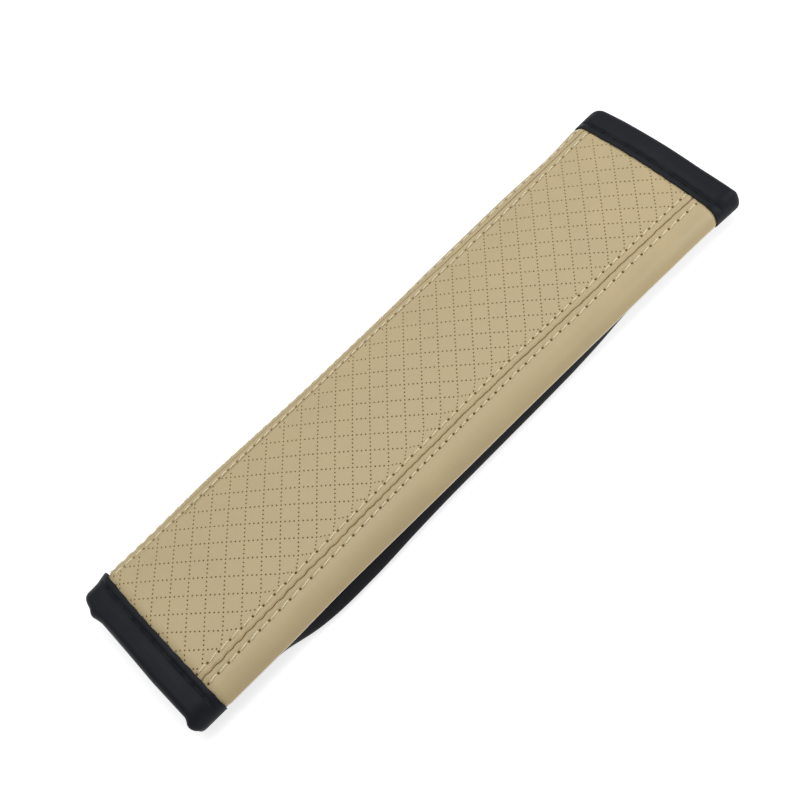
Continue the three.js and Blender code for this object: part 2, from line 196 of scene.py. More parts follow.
# How the sewn pad strays from its even section, as pairs of place and size in millimetres.
# How far each flank stands out, along the pad:
SPREAD = {
    -1: ((-125, -1.0), (-112, -0.7), (-90, -0.4), (-65, -0.6), (-40, -0.1), (-20, 0.3), (0, 0.6),
         (30, 0.8), (60, 0.8), (90, 0.4), (105, 0.1), (115, 0), (125, 0.1)),
    1: ((-125, 1.4), (-114, 1.3), (-108, 1.0), (-95, 0.9), (-80, 1.4), (-68, 1.7), (-55, 1.3),
        (-40, 0.8), (-20, 0.4), (0, 0.45), (20, 0.6), (35, 1.0), (50, 1.1), (75, 1.3), (90, 0.8),
        (98, 0.5), (106, 1.0), (115, 1.7), (125, 1.6)),
}
# How far the right flap swells out of its fold, along the pad:
RIGHT_SWELL = ((-125, -4.7), (-93, -4.7), (-87, 1), (-79, 6.3), (-68, 8.8), (-52, 8.8), (-38, 7.1),
               (-20, 5.9), (20, 5.9), (40, 5), (54, 2.8), (66, -1), (75, -4.7), (125, -4.7))
# How far over the leather the left front row of stitches is sewn, along the pad:
LEFT_ROW_LINE = ((-125, 27.9), (-112, 27.9), (-100, 27.4), (-80, 26.8), (-55, 26.6), (-20, 26.2),
                 (0, 26), (20, 25.5), (45, 24.8), (75, 24.7), (110, 25), (125, 25))
# How far the right seam strays to the left, along the pad:
RIGHT_SEAM_LINE = ((-125, 0.2), (-112, 0.2), (-90, 0.6), (-40, 0.9), (0, 1), (25, 0.7), (55, 0.1),
                   (80, 0.25), (125, 0.25))
# How far out the open edge and the folded end of each binding lie, over the front from right to
# left. Places past 34 mm are round on the flaps:
OPEN_EDGE = {
    -1: ((-34, 2.9), (-21, 2.7), (-4, 2.35), (6, 2.1), (17, 1.6), (28, 0.85), (34, 0.3)),
    1: ((-34, 0.7), (-20, 1), (-10, 1.25), (0, 1.6), (10, 1.9), (20, 2.1), (26, 2.4), (34, 2.2)),
}
FOLDED_END = {
    -1: ((-68, -1.4), (-46, -0.4), (-37, 0.8), (-34, 1), (-32.5, 1.9), (-30, 2.4), (-28, 2.2),
         (-26, 1.1), (-9, 0.9), (3, 0.3), (18, -0.3), (20.5, 0.1), (22.5, 0.7), (24.5, -0.6),
         (28, -1.3), (31, -2.2), (34, -3.2)),
    1: ((-34, 0.2), (-31.5, 0.4), (-29, 0.8), (-27, 0.2), (-14, 0.2), (0, 0.8), (18, 1.2),
        (26, 1), (29, 0.3), (31.5, -1), (34, -2.6)),
}


def linear(code):
    """An sRGB hex colour as linear red, green and blue."""
    shares = [int(code[k:k + 2], 16) / 255 for k in (0, 2, 4)]
    return tuple(c / 12.92 if c <= 0.04045 else ((c + 0.055) / 1.055) ** 2.4 for c in shares)


def smooth(value, low, high):
    """0 below low, 1 above high, and a smooth step between them."""
    share = np.clip((value - low) / (high - low), 0, 1)
    return share * share * (3 - 2 * share)


def hump(value, centre, reach):
    """1 at the centre, falling away over the reach on both sides."""
    return np.exp(-(((value - centre) / reach) ** 2))


class PadLeather(bpy.types.PropertyGroup):
    """Sizes of the leather's holes and relief."""

    pinhole_radius: FloatProperty(
        name="Pinhole radius", description="Radius of the small holes on the diamond lines",
        default=0.26 * MM, min=0.1 * MM, max=0.36 * MM, precision=5, unit="LENGTH")
    needle_radius: FloatProperty(
        name="Needle hole radius", description="Radius of the holes at the ends of each stitch",
        default=0.40 * MM, min=0.1 * MM, max=0.44 * MM, precision=5, unit="LENGTH")
    seam_ridge: FloatProperty(
        name="Seam ridge", description="Height of the padded ridges beside each seam",
        default=0.22 * MM, min=0, max=0.5 * MM, precision=5, unit="LENGTH")
    swell: FloatProperty(
        name="Swell", description="The most that the padding lifts the leather",
        default=0.6 * MM, min=0, max=2 * MM, precision=5, unit="LENGTH")


class PadThread(bpy.types.PropertyGroup):
    """Sizes of the sewing thread."""

    radius: FloatProperty(
        name="Thread radius", description="Radius of the topstitching thread",
        default=0.26 * MM, min=0.1 * MM, max=0.5 * MM, precision=5, unit="LENGTH")
    slant: FloatProperty(
        name="Slant", description="Turn of each stitch from the line of its row",
        default=math.radians(8), subtype="ANGLE")
    unevenness: FloatProperty(
        name="Unevenness", description="The most that a hole strays along its row",
        default=0.15 * MM, min=0, max=1 * MM, precision=5, unit="LENGTH")
    seed: IntProperty(
        name="Seed", description="Picks how the stitches vary", default=4)


class PadBindings(bpy.types.PropertyGroup):
    """Relief of the end bindings."""

    groove: FloatProperty(
        name="Groove", description="How deep the stitching draws the binding in",
        default=0.5 * MM, min=0, max=1 * MM, precision=5, unit="LENGTH")
    puff: FloatProperty(
        name="Puff", description="How far the roll between the stitching and the end stands out",
        default=0.5 * MM, min=0, max=1.5 * MM, precision=5, unit="LENGTH")


class PadColours(bpy.types.PropertyGroup):
    """Colours of the leather, cloth and thread."""

    leather: FloatVectorProperty(
        name="Leather", description="Colour of the beige leather", subtype="COLOR",
        default=linear("C8B58B"))
    # Painted shade: the inside of each hole is drawn in this darker colour
    holes: FloatVectorProperty(
        name="Holes", description="Colour inside the pinholes", subtype="COLOR",
        default=linear("866B38"))
    thread: FloatVectorProperty(
        name="Thread", description="Colour of the topstitching", subtype="COLOR",
        default=linear("FFF3CC"))
    binding: FloatVectorProperty(
        name="Binding", description="Colour of the end bindings", subtype="COLOR",
        default=linear("0F1219"))
    flaps: FloatVectorProperty(
        name="Flaps", description="Colour of the cloth flaps and lining", subtype="COLOR",
        default=linear("15161B"))


def through(at, knots, blur):
    """A smooth line through a few pairs of place and size, both in millimetres."""
    places, sizes = np.array(knots).T * MM
    fine = np.linspace(places[0], places[-1], LINE_STATIONS)
    step = fine[1] - fine[0]
    reach = int(3 * blur / step)
    weights = np.exp(-((np.arange(-reach, reach + 1) * step / blur) ** 2))
    line = np.pad(np.interp(fine, places, sizes), reach, mode="edge")
    return np.interp(at, fine, np.convolve(line, weights / weights.sum(), mode="valid"))


def by_side(side, at, lines, blur):
    """Follows the line of the side that each point is on: -1 or 1."""
    return np.where(side < 0, through(at, lines[-1], blur), through(at, lines[1], blur))


def spread(x, side):
    """How far a flank stands out past its even place."""
    return by_side(side, x, SPREAD, BODY_BLUR)


def tuck(x, s):
    """0 along the body of the pad, 1 under a binding."""
    start = TUCK_START + by_side(x, s, OPEN_EDGE, OPEN_BLUR)
    return np.clip((np.abs(x) - start) / TUCK_RUN, 0, 1)


def leather_depth(x, s):
    return tuck(x, s) * TAPE_DEPTH


def inner_depth(x, s):
    return leather_depth(x, s) + LEATHER + SHEET_GAP


def foam_underside(x, s):
    return PAD_HEIGHT - inner_depth(x, s) - (FOAM + (FOAM_AT_END - FOAM) * tuck(x, s))


def front_section(x, s, depth):
    """Across and up in the section of the front at x. s runs over the leather from the middle,
    positive to the left, and depth goes inwards."""
    side = np.where(s < 0, -1, 1)
    run = np.abs(s)
    out = spread(x, side)
    crown = CROWN_RUN + out
    eased = out * np.clip(run / crown, 0, 1) ** 2
    on_crown = run <= crown
    turn = np.where(on_crown, (run - eased) / CROWN_RADIUS, SHOULDER_LEAN + (run - crown) / SHOULDER_RADIUS)
    radius = np.where(on_crown, CROWN_RADIUS, SHOULDER_RADIUS) - depth
    across = np.where(on_crown, eased, SHOULDER_Y + out) + radius * np.sin(turn)
    up = np.where(on_crown, CROWN_Z, SHOULDER_Z) + radius * np.cos(turn)
    return side * across, up


def over_front(x, share):
    """The place over the leather, where share goes from -1 at the right flank's end to 1."""
    return share * (FLANK_RUN + spread(x, share))


def together(*parts):
    """Grids of single numbers as one grid of pairs or triples."""
    return np.stack(np.broadcast_arrays(*parts), axis=-1)


def place(x, across, up):
    """Puts a point of the section at x, and opens the section out towards the far end."""
    opening = FAR_FLARE * np.clip(x / HALF_LENGTH, 0, 1) ** 2
    y = across - opening * (HALF_WIDTH - across) / PAD_WIDTH + ROW_SHIFT
    return together(x, y, up)


def loose_swell(x):
    """How far the right flap's fold stands out past the flank."""
    return through(x, RIGHT_SWELL, BODY_BLUR)


def tucked_swell(x):
    return TUCKED_SWELL + 0 * x


class Flap:
    """One flap of the back: which side it hangs from, how high it lies and how it folds."""

    def __init__(self, side, level, swell):
        self.side = side
        self.level = level
        self.swell = swell

    def fold(self, x, t):
        """Points and headings down the fold, from 0 at the seam to 1 where the back turns flat."""
        behind = CUT_EDGE_SHOWS * (1 - tuck(x, self.side * FLANK_RUN))
        flank = HALF_WIDTH + spread(x, self.side) - behind
        corners = [
            np.broadcast_arrays(flank, SHOULDER_Z),
            np.broadcast_arrays(flank, SHOULDER_Z + (self.level - SHOULDER_Z) * FOLD_EASE),
            np.broadcast_arrays(HALF_WIDTH + self.swell(x), self.level),
            np.broadcast_arrays(HALF_WIDTH - FOLD_INSET + 0 * x, self.level),
        ]
        a, b, c, d = np.array(corners)
        u = 1 - t
        point = a * u**3 + 3 * b * u**2 * t + 3 * c * u * t**2 + d * t**3
        heading = 3 * ((b - a) * u**2 + 2 * (c - b) * u * t + (d - c) * t**2)
        return point, heading / np.hypot(*heading)

    def section(self, x, t, beyond, depth):
        """Across and up at t down the fold, then beyond it over the flat back."""
        point, heading = self.fold(x, np.minimum(t, 1))
        across = point[0] + heading[1] * depth - beyond
        return self.side * across, point[1] - heading[0] * depth

    def start(self):
        """Where the flap begins, its own thickness below the seam."""
        return FLAP / (3 * FOLD_EASE * (SHOULDER_Z - self.level))


RIGHT_FLAP = Flap(-1, 0.0, loose_swell)
LEFT_FLAP = Flap(1, LAP_LEVEL, tucked_swell)
FLAP_REACH = HALF_WIDTH - FOLD_INSET + FLAP_OVERLAP / 2


class Swelling:
    """How far the padding lifts the leather, kept on a grid over the front."""

    along = np.linspace(-HALF_LENGTH, HALF_LENGTH, 101)
    over = np.linspace(-FLANK_RUN, FLANK_RUN, 41)
    lift = np.zeros((along.size, over.size))

    @classmethod
    def at(cls, x, s):
        i = np.clip((x - cls.along[0]) / (cls.along[1] - cls.along[0]), 0, cls.along.size - 1.001)
        j = np.clip((s - cls.over[0]) / (cls.over[1] - cls.over[0]), 0, cls.over.size - 1.001)
        i0, j0 = i.astype(int), j.astype(int)
        u, v = i - i0, j - j0
        near = cls.lift[i0, j0] * (1 - v) + cls.lift[i0, j0 + 1] * v
        far = cls.lift[i0 + 1, j0] * (1 - v) + cls.lift[i0 + 1, j0 + 1] * v
        return near * (1 - u) + far * u


def hole_places(row):
    """Where the needle went through along a topstitched row."""
    pitch_line, known_hole = PITCH_LINES[row]
    thread = bpy.context.scene.pad_thread
    chance = random.Random(f"{row} {thread.seed}")
    along = np.linspace(-SHEET_END, SHEET_END, PITCH_STATIONS)
    count = np.cumsum((along[1] - along[0]) / through(along, pitch_line, PITCH_BLUR))
    count -= np.interp(known_hole, along, count)
    holes = np.interp(np.arange(math.ceil(count[0]), count[-1]), count, along)
    holes = holes[np.abs(holes) < BINDING_EDGE + STITCH_LENGTH]
    return holes + [chance.uniform(-1, 1) * thread.unevenness for _ in holes]


def hole_cells(row):
    """The middles of the cells on the cutting table that a row's needle holes go through."""
    return FIRST_HOLE + CELL * np.rint((hole_places(row) - FIRST_HOLE) / CELL)


def stray(x, s):
    """Moves the leather along a topstitched row, from its cells to where its needle holes are."""
    moved = x.copy()
    for row, over in TOPSTITCH_ROWS.items():
        near = 1 - smooth(np.abs(s - over), *STRAY_REACH)
        cells = hole_cells(row)
        moved += near * np.interp(x, cells, hole_places(row) - cells)
    return moved


def seam_relief(x, s):
    """Height of the leather's face beside the two seams: a valley, a ridge that the stitches
    pucker, and the row itself, which each stitch draws in where the needle went through."""
    ridge = bpy.context.scene.pad_leather.seam_ridge
    height = np.zeros_like(s)
    for row, over in TOPSTITCH_ROWS.items():
        seam, inset = (RIGHT_SEAM, RIGHT_INSET) if over < 0 else (LEFT_SEAM, LEFT_INSET)
        here = (s - seam) * (over - seam) > 0
        inwards = np.abs(s - seam)
        holes = hole_cells(row)
        along = np.interp(x, holes, np.arange(len(holes)))
        from_hole = np.abs(along - np.round(along))
        pucker = 0.75 + PUCKER[-1 if over < 0 else 1] * smooth(from_hole, 0, 0.45)
        relief = ridge * pucker * hump(inwards, 0.5 * inset, 0.3 * inset)
        uneven = 1 + 0.5 * np.sin(x / (0.9 * MM)) * np.sin(x / (2.1 * MM))
        relief -= VALLEY_DEPTH * uneven * hump(inwards, 0, VALLEY_REACH)
        relief -= 0.7 * ridge * hump(inwards, inset, ROW_REACH)
        relief += 0.35 * ridge * hump(inwards, 1.9 * inset, 0.45 * inset)
        hole = np.hypot(from_hole * STITCH_LENGTH, inwards - inset)
        relief -= HOLE_DENT * hump(hole, 0, HOLE_DENT_REACH)
        # The left side row is pulled less tight
        height += here * relief * (SLACK_ROW if over > LEFT_SEAM else 1)
    return height


def settle(x, s):
    """Takes the leather from its place on the cutting table to where it lies over the front. The
    left seam slants, so the front panel is trimmed beside it and the left panel gives way."""
    half_cell = CELL_ACROSS / 2
    # Each stitch tugs the right seam to and fro
    holes = hole_cells("right_seam_side")
    tug = np.sin(2 * math.pi * np.interp(x, holes, np.arange(len(holes))))
    wander = SEAM_WANDER * (np.sin(x / (1.37 * MM) + 1) + np.sin(x / (3.9 * MM) + 1))
    near_seam = hump(s, RIGHT_SEAM, 1.2 * MM) + hump(s, LEFT_SEAM, 1.2 * MM)
    # Right of the middle: the seam strays, and the flank's end goes where the flank does
    stray_in = through(x, RIGHT_SEAM_LINE, BODY_BLUR) * smooth(-s, 13.5 * MM, 18 * MM)
    to_end = smooth(-s, 25 * MM, FLANK_RUN)
    right = s + stray_in * (1 - to_end) - spread(x, -1) * to_end
    # Left of the middle
    slack = np.minimum(through(x, LEFT_ROW_LINE, BODY_BLUR) - LEFT_ROW, 0)
    trimmed = np.minimum(s, LEFT_ROW - half_cell + slack)
    left = np.where(s >= LEFT_ROW - half_cell - 0.01 * MM, s + slack, trimmed)
    room = FLANK_RUN + spread(x, 1) - (LEFT_SEAM + slack)
    past = s - LEFT_SEAM
    share = (past - UNPULLED) / (LEFT_PANEL - UNPULLED)
    squeezed = LEFT_SEAM + slack + UNPULLED + share * (room - UNPULLED)
    left = np.where(past > UNPULLED, squeezed, left)
    near, far = STITCH_PULL["near"], STITCH_PULL["far"]
    pull = near + (far - near) * smooth(x, -60 * MM, 0)
    tugged = pull * tug * hump(s, RIGHT_SEAM, 0.9 * MM)
    return np.where(s < 0, right, left) + wander * near_seam + tugged


def sew_over_front(flat):
    """Bends what lies flat on the cutting table over the front of the pad. x stays along the pad, y
    is the way over the leather, and z is the height above its face."""
    x, table_s, h = flat.T
    relief = seam_relief(x, table_s)
    x = stray(x, table_s)
    s = settle(x, table_s)
    under_face = np.clip(1 + h / LEATHER, 0, 1)
    pressed = np.where(h > 0, h * (1 - 0.75 * tuck(x, s)), h)
    depth = leather_depth(x, s) - pressed - relief * under_face - Swelling.at(x, s)
    return place(x, *front_section(x, s, depth))


def write_points(mesh, points):
    mesh.vertices.foreach_set("co", np.asarray(points, np.float32).ravel())
    mesh.update()


def read_points(mesh):
    points = np.zeros(len(mesh.vertices) * 3, np.float32)
    mesh.vertices.foreach_get("co", points)
    return points.reshape(-1, 3).astype(float)


def outward(mesh):
    """Turns a closed mesh the right way out."""
    shape = bmesh.new()
    shape.from_mesh(mesh)
    bmesh.ops.recalc_face_normals(shape, faces=shape.faces)
    if shape.calc_volume(signed=True) < 0:
        bmesh.ops.reverse_faces(shape, faces=shape.faces)
    shape.to_mesh(mesh)
    shape.free()
    mesh.shade_smooth()


def add_object(name, data):
    """Adds an object to the scene, at the origin."""
    made = bpy.data.objects.new(name, data)
    bpy.context.scene.collection.objects.link(made)
    return made


def finish_piece(name, mesh, node, material):
    """Names a finished mesh, dresses it and hangs it on the frame in place of a node."""
    mesh.name = name
    piece = add_object(name, mesh)
    mesh.materials.clear()
    mesh.materials.append(material)
    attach(piece, "root")
    if node:
        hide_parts(node)
    return piece


class Shell:
    """Points and faces of one closed sheet, put together row by row."""

    def __init__(self):
        self.points = []
        self.faces = []

    def row(self, points):
        start = len(self.points)
        self.points.extend(tuple(point) for point in points)
        return list(range(start, len(self.points)))

    def strip(self, lower, upper):
        for k in range(len(lower) - 1):
            self.faces.append((lower[k], lower[k + 1], upper[k + 1], upper[k]))

    def zip(self, lower, upper):
        """Triangles between two rows with different stations. Each row is a list of (at, index)."""
        i = j = 0
        while i < len(lower) - 1 or j < len(upper) - 1:
            if j == len(upper) - 1 or (i < len(lower) - 1 and lower[i + 1][0] <= upper[j + 1][0]):
                self.faces.append((lower[i][1], lower[i + 1][1], upper[j][1]))
                i += 1
            else:
                self.faces.append((lower[i][1], upper[j + 1][1], upper[j][1]))
                j += 1

    def mesh(self, name):
        made = bpy.data.meshes.new(name)
        made.from_pydata(self.points, [], self.faces)
        return made


def closed_sheet(name, outer, inner, cut=None):
    """A closed sheet between two grids of points, shaped across, along, xyz. cut holds the flat
    place of each grid point, and becomes a UV map in metres."""
    rows, columns = outer.shape[:2]
    shell = Shell()
    outside = [shell.row(line) for line in outer]
    inside = [shell.row(line) for line in inner]
    for k in range(rows - 1):
        shell.strip(outside[k], outside[k + 1])
        shell.strip(inside[k + 1], inside[k])
    shell.strip(inside[0], outside[0])
    shell.strip(outside[-1], inside[-1])
    shell.strip([row[0] for row in outside], [row[0] for row in inside])
    shell.strip([row[-1] for row in inside], [row[-1] for row in outside])
    mesh = shell.mesh(name)
    if cut is not None:
        flat = np.concatenate([cut.reshape(-1, 2), cut.reshape(-1, 2)])
        corners = np.zeros(len(mesh.loops), np.int32)
        mesh.loops.foreach_get("vertex_index", corners)
        layer = mesh.uv_layers.new(name="cut")
        layer.data.foreach_set("uv", flat[corners].astype(np.float32).ravel())
    outward(mesh)
    return mesh


def add_node(tree, kind, inputs=None, **settings):
    """Adds a node, sets its own settings, and sets or links its inputs."""
    made = tree.nodes.new(kind)
    for name, value in settings.items():
        setattr(made, name, value)
    for key, value in (inputs or {}).items():
        if isinstance(value, bpy.types.Node):
            value = value.outputs[0]
        if isinstance(value, bpy.types.NodeSocket):
            tree.links.new(value, made.inputs[key])
        else:
            made.inputs[key].default_value = value
    return made


def new_tree(name, inputs):
    """A geometry tree with named inputs and one geometry output, and what it is given by name."""
    tree = bpy.data.node_groups.new(name, "GeometryNodeTree")
    tree.interface.new_socket("Geometry", in_out="OUTPUT", socket_type="NodeSocketGeometry")
    for label, kind in inputs.items():
        tree.interface.new_socket(label, in_out="INPUT", socket_type=f"NodeSocket{kind}")
    given = tree.nodes.new("NodeGroupInput").outputs
    return tree, {label: given[label] for label in inputs}


def grow(tree, values):
    """Runs a tree on an empty mesh and gives back what it makes as a plain mesh."""
    carrier = add_object(tree.name, bpy.data.meshes.new(tree.name))
    modifier = carrier.modifiers.new(tree.name, "NODES")
    modifier.node_group = tree
    for socket in tree.interface.items_tree:
        if socket.in_out == "INPUT":
            modifier[socket.identifier] = values[socket.name]
    view = bpy.context.evaluated_depsgraph_get()
    mesh = bpy.data.meshes.new_from_object(carrier.evaluated_get(view))
    bpy.data.objects.remove(carrier)
    return mesh


def add_mesh(name, points, faces=()):
    """Adds an object with a mesh made of the points and faces given."""
    mesh = bpy.data.meshes.new(name)
    mesh.from_pydata(points, [], faces)
    return add_object(name, mesh)


# The corners of a square round the middle, and the number of sides of a hole
SQUARE = ((-1, -1), (1, -1), (1, 1), (-1, 1))
HOLE_SIDES = 8


def cell_corners(width):
    return [(x * CELL / 2, y * width / 2, 0) for x, y in SQUARE]


def punched_cell(name, width, rings):
    """A cell of leather with one round hole. rings are the hole's radii and depths, going in."""
    points = cell_corners(width)
    sides = HOLE_SIDES
    for radius, depth in rings:
        for k in range(sides):
            turn = 2 * math.pi * (k + 0.5) / sides
            points.append((radius * math.cos(turn), radius * math.sin(turn), -depth))
    around = [[4 + ring * sides + k for k in range(sides)] for ring in range(len(rings))]
    # The first ring's points 0 and 1 face +X and the +X +Y corner, and so on round the cell
    faces = []
    for corner, first in ((2, 0), (3, 2), (0, 4), (1, 6)):
        before = (corner - 1) % 4
        faces.append((corner, around[0][(first + 1) % sides], around[0][first]))
        faces.append((before, corner, around[0][first], around[0][first - 1]))
    for inner, outer in zip(around[1:], around):
        for k in range(sides):
            faces.append((outer[k], outer[(k + 1) % sides], inner[(k + 1) % sides], inner[k]))
    faces.append(tuple(around[-1]))
    return add_mesh(name, points, faces)


def punching_tree():
    """Lays out a flat sheet of leather in cells, and picks which of them are punched."""
    tree, given = new_tree("Punched leather", {
        "Columns": "Int", "Rows": "Int", "Cell Length": "Float", "Cell Width": "Float",
        "Cells Before Pattern": "Int", "Cells Per Diamond": "Int", "First Pattern Row": "Int",
        "Last Pattern Row": "Int", "Needle Marks": "Object", "Pinhole Cell": "Object",
        "Needle Cell": "Object", "Plain Cell": "Object", "Leather": "Material",
    })
    index = add_node(tree, "GeometryNodeInputIndex")
    lost = add_node(tree, "ShaderNodeFloatCurve")
    line = lost.mapping.curves[0]
    for place_along, over in LEFT_ROW_LINE:
        at = 0.5 + 0.5 * place_along * MM / SHEET_END
        line.points.new(min(max(at, 0), 1), (LEFT_ROW - over * MM) / CELL_ACROSS / MOST_ROWS_LOST)
    line.points.remove(line.points[-1])
    line.points.remove(line.points[0])
    for point in line.points:
        point.handle_type = "VECTOR"
    lost.mapping.update()
    marks = add_node(tree, "GeometryNodeObjectInfo", {"Object": given["Needle Marks"]})
    nearest = add_node(tree, "GeometryNodeProximity", {0: marks.outputs["Geometry"]},
                       target_element="POINTS")

    # Each step: its name, an operation, and what that works on, by name or as a number
    known = {**given, "index": index, "share lost": lost, "to needle": nearest.outputs["Distance"]}
    for name, operation, *inputs in (
        ("last column", "SUBTRACT", "Columns", 1.0),
        ("size x", "MULTIPLY", "last column", "Cell Length"),
        ("last row", "SUBTRACT", "Rows", 1.0),
        ("size y", "MULTIPLY", "last row", "Cell Width"),
        ("row", "FLOORED_MODULO", "index", "Rows"),
        ("columns passed", "DIVIDE", "index", "Rows"),
        ("whole column", "FLOOR", "columns passed"),
        ("column", "SUBTRACT", "whole column", "Cells Before Pattern"),
        ("share along", "DIVIDE", "whole column", "Columns"),
        ("rise", "SUBTRACT", "column", "row"),
        ("rise in diamond", "FLOORED_MODULO", "rise", "Cells Per Diamond"),
        ("on rising line", "COMPARE", "rise in diamond", 0.0, 0.25),
        ("fall", "ADD", "column", "row"),
        ("fall in diamond", "FLOORED_MODULO", "fall", "Cells Per Diamond"),
        ("on falling line", "COMPARE", "fall in diamond", 0.0, 0.25),
        ("on a line", "MAXIMUM", "on rising line", "on falling line"),
        ("before first", "SUBTRACT", "First Pattern Row", 0.5),
        ("past first", "GREATER_THAN", "row", "before first"),
        ("after last", "ADD", "Last Pattern Row", 0.15),
        ("rows lost", "MULTIPLY", "share lost", MOST_ROWS_LOST),
        ("end of rows", "SUBTRACT", "after last", "rows lost"),
        ("short of end", "LESS_THAN", "row", "end of rows"),
        ("in pattern", "MULTIPLY", "past first", "short of end"),
        ("pinhole", "MULTIPLY", "on a line", "in pattern"),
        ("needle reach", "MULTIPLY", "Cell Length", 0.3),
        ("needle", "LESS_THAN", "to needle", "needle reach"),
        ("holed", "MAXIMUM", "pinhole", "needle"),
        ("plain", "SUBTRACT", 1.0, "holed"),
    ):
        values = {k: known.get(value, value) for k, value in enumerate(inputs)}
        known[name] = add_node(tree, "ShaderNodeMath", values, operation=operation)
    tree.links.new(known["share along"].outputs[0], lost.inputs["Value"])
    grid = add_node(tree, "GeometryNodeMeshGrid", {
        "Size X": known["size x"], "Size Y": known["size y"], "Vertices X": given["Columns"],
        "Vertices Y": given["Rows"]})
    joined = add_node(tree, "GeometryNodeJoinGeometry")
    for chosen, cell in (("plain", "Plain Cell"), ("needle", "Needle Cell"), ("pinhole", "Pinhole Cell")):
        source = add_node(tree, "GeometryNodeObjectInfo", {"Object": given[cell]})
        laid = add_node(tree, "GeometryNodeInstanceOnPoints", {
            "Points": grid, "Selection": known[chosen], "Instance": source.outputs["Geometry"]})
        tree.links.new(laid.outputs[0], joined.inputs[0])
    real = add_node(tree, "GeometryNodeRealizeInstances", {0: joined})
    welded = add_node(tree, "GeometryNodeMergeByDistance", {"Geometry": real, "Distance": 0.01 * MM})
    dressed = add_node(tree, "GeometryNodeSetMaterial", {"Geometry": welded, "Material": given["Leather"]})
    add_node(tree, "NodeGroupOutput", {0: dressed})
    return tree


def stitching_tree():
    """Lays a stitch on each given point, stretched to that stitch's length and turned a little."""
    tree, given = new_tree("Row of stitches", {
        "Stitches": "Object", "Stitch": "Object", "Stitch Length": "Float", "Least Slant": "Float",
        "Most Slant": "Float", "Seed": "Int", "Thread": "Material",
    })
    points = add_node(tree, "GeometryNodeObjectInfo", {"Object": given["Stitches"]})
    turn = add_node(tree, "FunctionNodeRandomValue", {"Seed": given["Seed"]}, data_type="FLOAT")
    float_min, float_max, float_value = turn.inputs[2], turn.inputs[3], turn.outputs[1]
    tree.links.new(given["Least Slant"], float_min)
    tree.links.new(given["Most Slant"], float_max)
    turned = add_node(tree, "ShaderNodeCombineXYZ", {"Z": float_value})
    length = add_node(tree, "GeometryNodeInputNamedAttribute", {"Name": "length"}, data_type="FLOAT")
    stretch = add_node(tree, "ShaderNodeMath", {0: length.outputs[0], 1: given["Stitch Length"]},
                       operation="DIVIDE")
    stretched = add_node(tree, "ShaderNodeCombineXYZ", {0: stretch, 1: 1.0, 2: 1.0})
    source = add_node(tree, "GeometryNodeObjectInfo", {"Object": given["Stitch"]})
    laid = add_node(tree, "GeometryNodeInstanceOnPoints", {
        "Points": points.outputs["Geometry"], "Instance": source.outputs["Geometry"],
        "Rotation": turned, "Scale": stretched})
    real = add_node(tree, "GeometryNodeRealizeInstances", {0: laid})
    dressed = add_node(tree, "GeometryNodeSetMaterial", {"Geometry": real, "Material": given["Thread"]})
    add_node(tree, "NodeGroupOutput", {0: dressed})
    return tree


def sew_row(tree, holes, radius, rise, slant, change, seed, material):
    """A straight row of stitches along X, each from one needle hole to the next. Each is turned by
    the slant, give or take the change."""
    gaps = np.diff(holes)
    stitches = add_mesh("stitches", [(x, 0, 0) for x in (holes[1:] + holes[:-1]) / 2])
    lengths = stitches.data.attributes.new("length", "FLOAT", "POINT")
    lengths.data.foreach_set("value", (gaps - HOLE_GAP).astype(np.float32))
    stitch = stitch_shape(STITCH_LENGTH, radius, rise, 2.2 * radius)
    mesh = grow(tree, {
        "Stitches": stitches, "Stitch": stitch, "Stitch Length": STITCH_LENGTH,
        "Least Slant": slant - change, "Most Slant": slant + change, "Seed": seed,
        "Thread": material})
    bpy.data.objects.remove(stitch)
    bpy.data.objects.remove(stitches)
    return mesh


def stitch_shape(length, radius, rise, sink):
    """One stitch of three-ply thread: it rises out of one needle hole and dives into the next."""
    rings, sides = 10, 6
    twist_per_ring = math.radians(38)
    ply_depth = 0.16
    points, faces = [], []
    for ring in range(rings + 1):
        u = 2 * ring / rings - 1
        height = rise * (1 - abs(u) ** 4) - sink * abs(u) ** 6
        taper = 1 - 0.25 * abs(u) ** 6
        for k in range(sides):
            turn = 2 * math.pi * k / sides + twist_per_ring * ring
            reach = radius * taper * (1 + (ply_depth if k % 2 else -ply_depth))
            points.append((u * length / 2, reach * math.cos(turn), height + reach * math.sin(turn)))
    for ring in range(rings):
        for k in range(sides):
            a, b = ring * sides + k, ring * sides + (k + 1) % sides
            faces.append((a, b, b + sides, a + sides))
    faces.append(tuple(reversed(range(sides))))
    faces.append(tuple(rings * sides + k for k in range(sides)))
    return add_mesh("stitch", points, faces)


def new_material(name, **settings):
    """A material with one principled shader, that shader and its tree."""
    material = bpy.data.materials.new(name)
    material.use_nodes = True
    shader = material.node_tree.nodes["Principled BSDF"]
    for label, value in settings.items():
        shader.inputs[label.replace("_", " ")].default_value = value
    return material, shader, material.node_tree


def two_tone(tree, shader, pattern, dark, light, strength, relief):
    """Colours a face from dark to light and raises it, both by one pattern from 0 to 1."""
    tone = add_node(tree, "ShaderNodeMix", {
        0: pattern, 6: (*dark, 1), 7: (*light, 1)}, data_type="RGBA")
    raised = add_node(tree, "ShaderNodeBump", {
        "Height": pattern, "Strength": strength, "Distance": relief})
    tree.links.new(tone.outputs[2], shader.inputs["Base Color"])
    tree.links.new(raised.outputs[0], shader.inputs["Normal"])


def shades(colour, *shares):
    """A colour made darker or lighter, once for each share, and never past white."""
    return [tuple(min(1, share * part) for part in colour) for share in shares]


def object_place(tree):
    """Where a point of the object lies, in metres."""
    return add_node(tree, "ShaderNodeTexCoord").outputs["Object"]


# The sizes at which the leather is drawn
GRAIN = 0.9 * MM
MOTTLE = 14 * MM
TAPE_GRAIN = 1 * MM
TAPE_MOTTLE = 9 * MM


def per(length):
    """The texture scale that repeats once in a length."""
    return 1 / length


